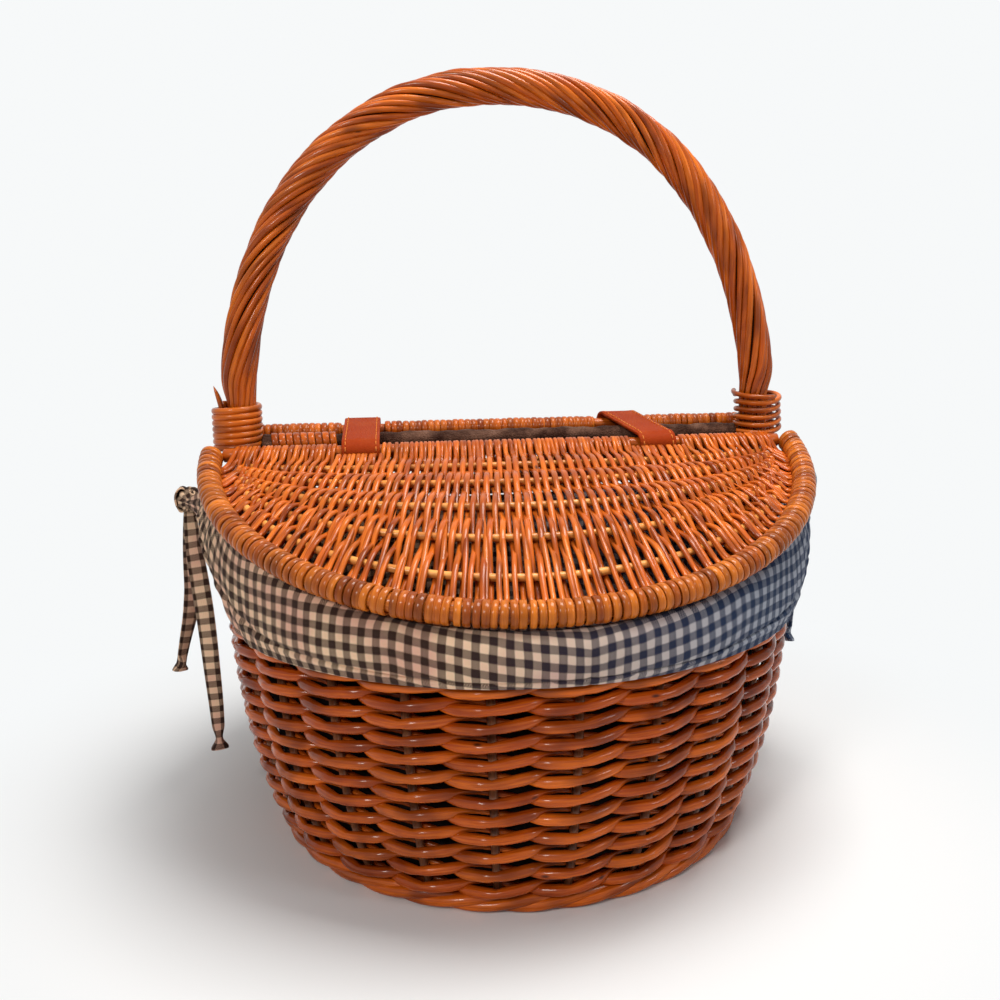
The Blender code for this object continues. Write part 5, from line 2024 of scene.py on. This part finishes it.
@dataclass
class ClothTie:
    """Knot beside a handle leg with its two hanging ends."""

    side: int
    finish: bpy.types.Material
    shade: bpy.types.Material
    long_shares: Sequence[tuple[float, float]]
    short_shares: Sequence[tuple[float, float]]
    long_drop: float = 0.142
    short_drop: float = 0.098
    ribbon_half_width: float = 0.0050
    ribbon_half_depth: float = 0.0011
    sewn_width: float = 0.0115
    tucked_in: float = 0.006

    @property
    def label(self) -> str:
        """The tie's name in the solids."""
        return "left_tie" if self.side < 0 else "right_tie"

    def build_knot(self) -> None:
        """Make the knot: gathered arms, a wrapped middle and a small loop."""
        parts = MeshParts(seed=131)
        reach = SIZES.slit_angle
        arm_place = SIZES.bowl_top_radius + SIZES.hem_stand_off + SIZES.tie_arm_depth + SIZES.bulge
        base = 0.0 if self.side > 0 else math.pi
        share = np.linspace(-1.0, 1.0, 90)
        knot = np.sqrt(np.maximum(1.0 - (share / 0.24) ** 2, 0.0))
        neck = 0.35 * SIZES.tie_knot
        fan = np.maximum(np.abs(share) - 0.35, 0.0) / 0.65
        tall = neck + (SIZES.tie_knot - neck) * knot + (SIZES.tie_arm_half_height - neck) * fan
        deep = SIZES.tie_arm_depth + (SIZES.tie_knot - SIZES.tie_arm_depth) * knot
        middle = arm_place + (SIZES.tie_reach - arm_place) * (1.0 - smooth_step(np.abs(share)))
        angle = reach * share + base
        sides = 64
        turn = 2.0 * math.pi * np.arange(sides) / sides
        pleat = 1.0 + 0.10 * np.sin(9.0 * turn)[None, :] * (1.0 - 0.4 * knot)[:, None]
        out = middle[:, None] + deep[:, None] * np.cos(turn)[None, :] * pleat
        level = SIZES.tie_height + tall[:, None] * np.sin(turn)[None, :] * pleat
        grid = around(out, np.broadcast_to(angle[:, None], out.shape), level)
        u = run_lengths(grid[:, 0])
        v = np.linspace(0.0, 2.0 * math.pi * SIZES.tie_knot, sides + 1)
        index = parts.add_grid(grid, u, v, 0.5, closed=False)
        parts.add_cap(index[0], grid[0].mean(axis=0), 0.5, flip=True)
        parts.add_cap(index[-1], grid[-1].mean(axis=0), 0.5, flip=False)
        self.add_wraps(parts)
        piece = parts.build(f"{self.label}_knot_cloth", self.finish)
        settle(piece, Body.BASKET, Slot.CLOTH, f"{self.label}_knot")

    def add_wraps(self, parts: MeshParts) -> None:
        """Wind the tie's band over the knot and stand its open loop outside it.

        Args:
            parts: The knot's mesh.
        """
        centre = np.array([self.side * SIZES.tie_reach, 0.0, SIZES.tie_height])
        turn = 2.0 * math.pi * np.arange(48) / 48.0
        for tilt, shift, size in ((0.35, -0.0022, 0.90), (-0.25, 0.0024, 0.86), (0.10, -0.0044, 0.70)):
            radius = SIZES.tie_knot * size
            across = 0.62 * radius * np.cos(turn) - self.side * 0.0022
            tall = radius * np.sin(turn)
            points = centre + np.stack([across, shift + tilt * tall * 0.5, tall], axis=1)
            outward = unit(np.stack([np.cos(turn), np.zeros(48), np.sin(turn)], axis=1))
            parts.add_rod(points, outward, 0.0022, 0.0008, sides=12, closed=True, squareness=0.6)
        loop_centre = centre + np.array([self.side * 0.0030, -0.0030, 0.0006])
        points = loop_centre + np.stack([0.0036 * np.cos(turn), 0.0008 * np.sin(2.0 * turn), 0.0068 * np.sin(turn)], axis=1)
        outward = unit(np.stack([np.cos(turn), np.zeros(48), 0.6 * np.sin(turn)], axis=1))
        parts.add_rod(points, outward, 0.0034, 0.0006, sides=12, closed=True, squareness=0.6)

    def build_fold(self) -> None:
        """Close the back of the open loop with cloth painted near black as the shade inside it."""
        parts = MeshParts(seed=133)
        place = np.linspace(-1.0, 1.0, 15)
        size = np.sqrt(np.maximum(1.0 - place**4, 0.02))
        x = np.full(15, self.side * (SIZES.tie_reach + 0.0030))
        points = np.stack([x, np.full(15, -0.0022), SIZES.tie_height + 0.0006 + 0.0062 * place], axis=1)
        parts.add_rod(points, np.array([0.0, -1.0, 0.0]), 0.0031 * size, 0.0014 * size, sides=14)
        settle(parts.build(f"{self.label}_knot_fold", self.shade), Body.BASKET, Slot.CLOTH)

    def build_end(self, name: str, drop: float, shares: Sequence[tuple[float, float]], seed: int) -> None:
        """Hang one flat folded ribbon with a knot at its end.

        Args:
            name: The end's solid.
            drop: How far it hangs.
            shares: Its way out and to the rear at even steps, as shares of the knot's radius.
            seed: Seed of its creases.
        """
        top = SIZES.tie_height - SIZES.tie_knot * 0.6
        last = len(shares) - 1
        chosen = np.array([
            (self.side * (SIZES.tie_reach + SIZES.tie_knot * a), SIZES.tie_knot * b, top - (drop + 0.0032) * i / last)
            for i, (a, b) in enumerate(shares)
        ])
        count = 150
        place = np.linspace(0.0, last, count)
        knots = np.arange(last + 1)
        points = np.stack([np.interp(place, knots, chosen[:, k]) for k in range(3)], axis=1)
        kernel = np.hanning(31)
        kernel /= kernel.sum()
        padded = np.pad(points, ((15, 15), (0, 0)), mode="reflect", reflect_type="odd")
        points = np.stack([np.convolve(padded[:, k], kernel, mode="valid") for k in range(3)], axis=1)
        share = np.linspace(0.0, 1.0, count)
        twist = 0.35 + 0.55 * np.sin(3.4 * share + seed)
        outward = np.stack([np.sin(twist) * -self.side, -np.cos(twist), np.zeros(count)], axis=1)
        swell = smooth_step((share - 0.90) / 0.05) * (1.0 - 0.6 * smooth_step((share - 0.97) / 0.03))
        flare = smooth_step((share - 0.955) / 0.045)
        width = self.ribbon_half_width * (0.55 + 0.55 * np.sin(math.pi * share**0.8) ** 0.8) * (1.0 - 0.35 * swell) + 0.0028 * flare
        depth = self.ribbon_half_depth * (1.0 + 1.8 * swell + 0.6 * flare)
        parts = MeshParts(seed=seed)
        parts.add_rod(points, outward, width, depth, sides=20, squareness=0.7, tone=0.1)
        piece = parts.build(f"{name}_ribbon", self.finish)
        settle(piece, Body.BASKET, Slot.CLOTH, name)

    def build(self) -> None:
        """Make the knot and both ends."""
        self.build_knot()
        self.build_fold()
        self.build_end(f"{self.label}_long_end", self.long_drop, self.long_shares, 141)
        self.build_end(f"{self.label}_short_end", self.short_drop, self.short_shares, 143)


LEFT_LONG = ((-0.05, -0.25), (-0.2, -0.6), (-0.5, -0.9), (-0.8, -1.1), (-1.1, -1.4), (-1.3, -1.6), (-1.45, -1.7), (-1.6, -1.7), (-1.7, -1.7), (-1.75, -1.7))
LEFT_SHORT = ((0.05, 0.25), (0.1, 0.5), (0.15, 0.7), (0.2, 0.8), (0.6, 0.8), (1.2, 0.7), (1.7, 0.6))
RIGHT_LONG = ((-0.05, 0.25), (-0.2, 1.0), (-0.5, 1.8), (-0.8, 2.3), (-1.1, 2.7), (-1.3, 2.9), (-1.45, 3.0), (-1.6, 3.0), (-1.7, 3.0), (-1.75, 3.0))
RIGHT_SHORT = ((-0.05, -0.25), (-0.2, -0.2), (-0.4, 0.2), (-0.6, 0.5), (-0.7, 0.6), (-0.8, 0.6), (-0.8, 0.6))


@dataclass(frozen=True)
class Studio:
    """Floor, world, lamps and the camera at the photograph's place."""

    azimuth: float = math.radians(-5.846)
    elevation: float = math.radians(7.7159)
    roll: float = math.radians(0.8504)
    position: tuple[float, float, float] = (-0.0617, -0.5749, 0.2924)
    lens: float = 34.82
    shift_y: float = -0.0555
    backdrop: Rgb = (0.93, 0.945, 0.95)

    def build_camera(self) -> None:
        """Set the camera."""
        a, e, r = self.azimuth, self.elevation, self.roll
        back = Vector((math.sin(a) * math.cos(e), -math.cos(a) * math.cos(e), math.sin(e)))
        level = Vector((math.cos(a), math.sin(a), 0.0))
        up = back.cross(level)
        right = level * math.cos(r) - up * math.sin(r)
        top = level * math.sin(r) + up * math.cos(r)
        data = bpy.data.cameras.new("camera")
        data.sensor_width = 36.0
        data.lens = self.lens
        data.shift_x = 0.0
        data.shift_y = self.shift_y
        data.clip_start = 0.01
        camera = bpy.data.objects.new("camera", data)
        bpy.context.scene.collection.objects.link(camera)
        turn = Matrix((right, top, back)).transposed().to_4x4()
        camera.matrix_world = Matrix.Translation(self.position) @ turn
        bpy.context.scene.camera = camera

    def lamp(self, name: str, spot: tuple[float, float, float], size: float, power: float, colour: Rgb) -> None:
        """Add a square area lamp aimed at the basket.

        Args:
            name: The lamp's name.
            spot: Its place.
            size: Its side.
            power: Its power in watts.
            colour: Its colour.
        """
        data = bpy.data.lights.new(name, "AREA")
        data.size = size
        data.energy = power
        data.color = colour
        lamp = bpy.data.objects.new(name, data)
        bpy.context.scene.collection.objects.link(lamp)
        lamp.location = spot
        aim = Vector((0.0, 0.0, 0.12)) - Vector(spot)
        lamp.rotation_mode = "QUATERNION"
        lamp.rotation_quaternion = aim.to_track_quat("-Z", "Y")

    def backdrop_rays(self, w: NodeWriter, path: bpy.types.Node) -> bpy.types.NodeSocket:
        """Share that is 1 for the rays that see the backdrop: camera, gloss and glass.

        Args:
            w: Writer of the tree.
            path: Its Light Path node.

        Returns:
            The share.
        """
        direct = w.math("MAXIMUM", path.outputs["Is Camera Ray"], path.outputs["Is Glossy Ray"])
        return w.math("MAXIMUM", direct, path.outputs["Is Transmission Ray"])

    def build_world(self) -> None:
        """Plain world that the camera, and gloss, see as the pale backdrop."""
        world = bpy.data.worlds.new("studio")
        bpy.context.scene.world = world
        world.use_nodes = True
        tree = world.node_tree
        w = NodeWriter(tree)
        tree.nodes.clear()
        path = w.add("ShaderNodeLightPath")
        seen = self.backdrop_rays(w, path)
        lit = w.add("ShaderNodeBackground", Color=(1.0, 0.98, 0.95, 1.0), Strength=0.12)
        pale = w.add("ShaderNodeBackground", Color=(*self.backdrop, 1.0), Strength=1.0)
        mix = w.add("ShaderNodeMixShader")
        w.feed(mix.inputs[0], seen)
        w.feed(mix.inputs[1], lit.outputs[0])
        w.feed(mix.inputs[2], pale.outputs[0])
        out = w.add("ShaderNodeOutputWorld")
        w.feed(out.inputs[0], mix.outputs[0])

    def build_floor(self) -> None:
        """Round pale floor that keeps the basket's shadow."""
        parts = MeshParts(seed=1)
        count = 96
        angle = 2.0 * math.pi * np.arange(count) / count
        rows = [around(np.full(count, r), angle, np.zeros(count)) for r in (0.002, 0.5, 1.5, 4.0, 12.0)]
        parts.add_grid(np.stack(rows), np.arange(5.0), np.linspace(0.0, 1.0, count + 1), 0.5, closed=False)
        material, w, shader = start_material("pale floor")
        shader.inputs["Base Color"].default_value = (0.78, 0.79, 0.80, 1.0)
        shader.inputs["Roughness"].default_value = 0.8
        shader.inputs["Specular IOR Level"].default_value = 0.1
        floor = parts.build("floor", material)
        path = w.add("ShaderNodeLightPath")
        far = w.add("ShaderNodeTexCoord").outputs["Object"]
        away = w.add("ShaderNodeVectorMath", {"operation": "LENGTH"})
        w.feed(away.inputs[0], far)
        glow = w.add("ShaderNodeEmission", Color=(*self.backdrop, 1.0), Strength=1.0)
        seen = self.backdrop_rays(w, path)
        share = w.math("MULTIPLY", seen, w.ramp(away.outputs["Value"], 0.12, 0.40))
        mix = w.add("ShaderNodeMixShader")
        w.feed(mix.inputs[0], share)
        w.feed(mix.inputs[1], shader.outputs[0])
        w.feed(mix.inputs[2], glow.outputs[0])
        out = material.node_tree.nodes["Material Output"]
        w.feed(out.inputs["Surface"], mix.outputs[0])

    def build(self) -> None:
        """Set the whole stage."""
        self.build_camera()
        self.build_world()
        self.build_floor()
        self.lamp("key", (0.20, -0.10, 1.20), 0.5, 15.0, (1.0, 0.97, 0.93))
        self.lamp("fill", (-0.75, -1.15, 0.95), 0.30, 9.0, (1.0, 0.96, 0.92))
        self.lamp("right", (1.05, -0.85, 0.75), 0.25, 2.6, (0.97, 0.98, 1.0))
        bpy.context.scene.view_settings.view_transform = "Standard"


def main() -> None:
    """Build every sub-assembly in order."""
    logging.basicConfig(level=logging.INFO, format="%(name)s: %(message)s")
    Studio().build()
    finishes = Finishes.build(GroupSet.build())
    front, rear = LidShape.pair()
    saddle = RimSaddle(front)
    side = WovenSide(saddle)
    side.build_weave(finishes.body)
    side.build_stakes(finishes.stake)
    side.build_borders(finishes.body)
    side.build_base(finishes.body)
    handle = TwistedHandle(saddle)
    handle.build(finishes.handle, finishes.core)
    LegBindings().build(finishes.handle)
    CentreBar().build(finishes.bar, finishes.body)
    WovenLid(front, Body.FRONT_LID).build(finishes)
    WovenLid(rear, Body.REAR_LID, hinge_beads=82).build(finishes)
    HingeStrap("left_hinge_strap", SIZES.left_strap_place, 0.0, front, rear).build(finishes.leather, finishes.stitch)
    HingeStrap("right_hinge_strap", SIZES.right_strap_place, SIZES.right_strap_skew, front, rear).build(finishes.leather, finishes.stitch)
    Lining(saddle, handle).build(finishes.cloth, finishes.shade)
    ClothTie(-1, finishes.cloth, finishes.shade, LEFT_LONG, LEFT_SHORT).build()
    ClothTie(1, finishes.cloth, finishes.shade, RIGHT_LONG, RIGHT_SHORT).build()


if __name__ == "__main__":
    main()
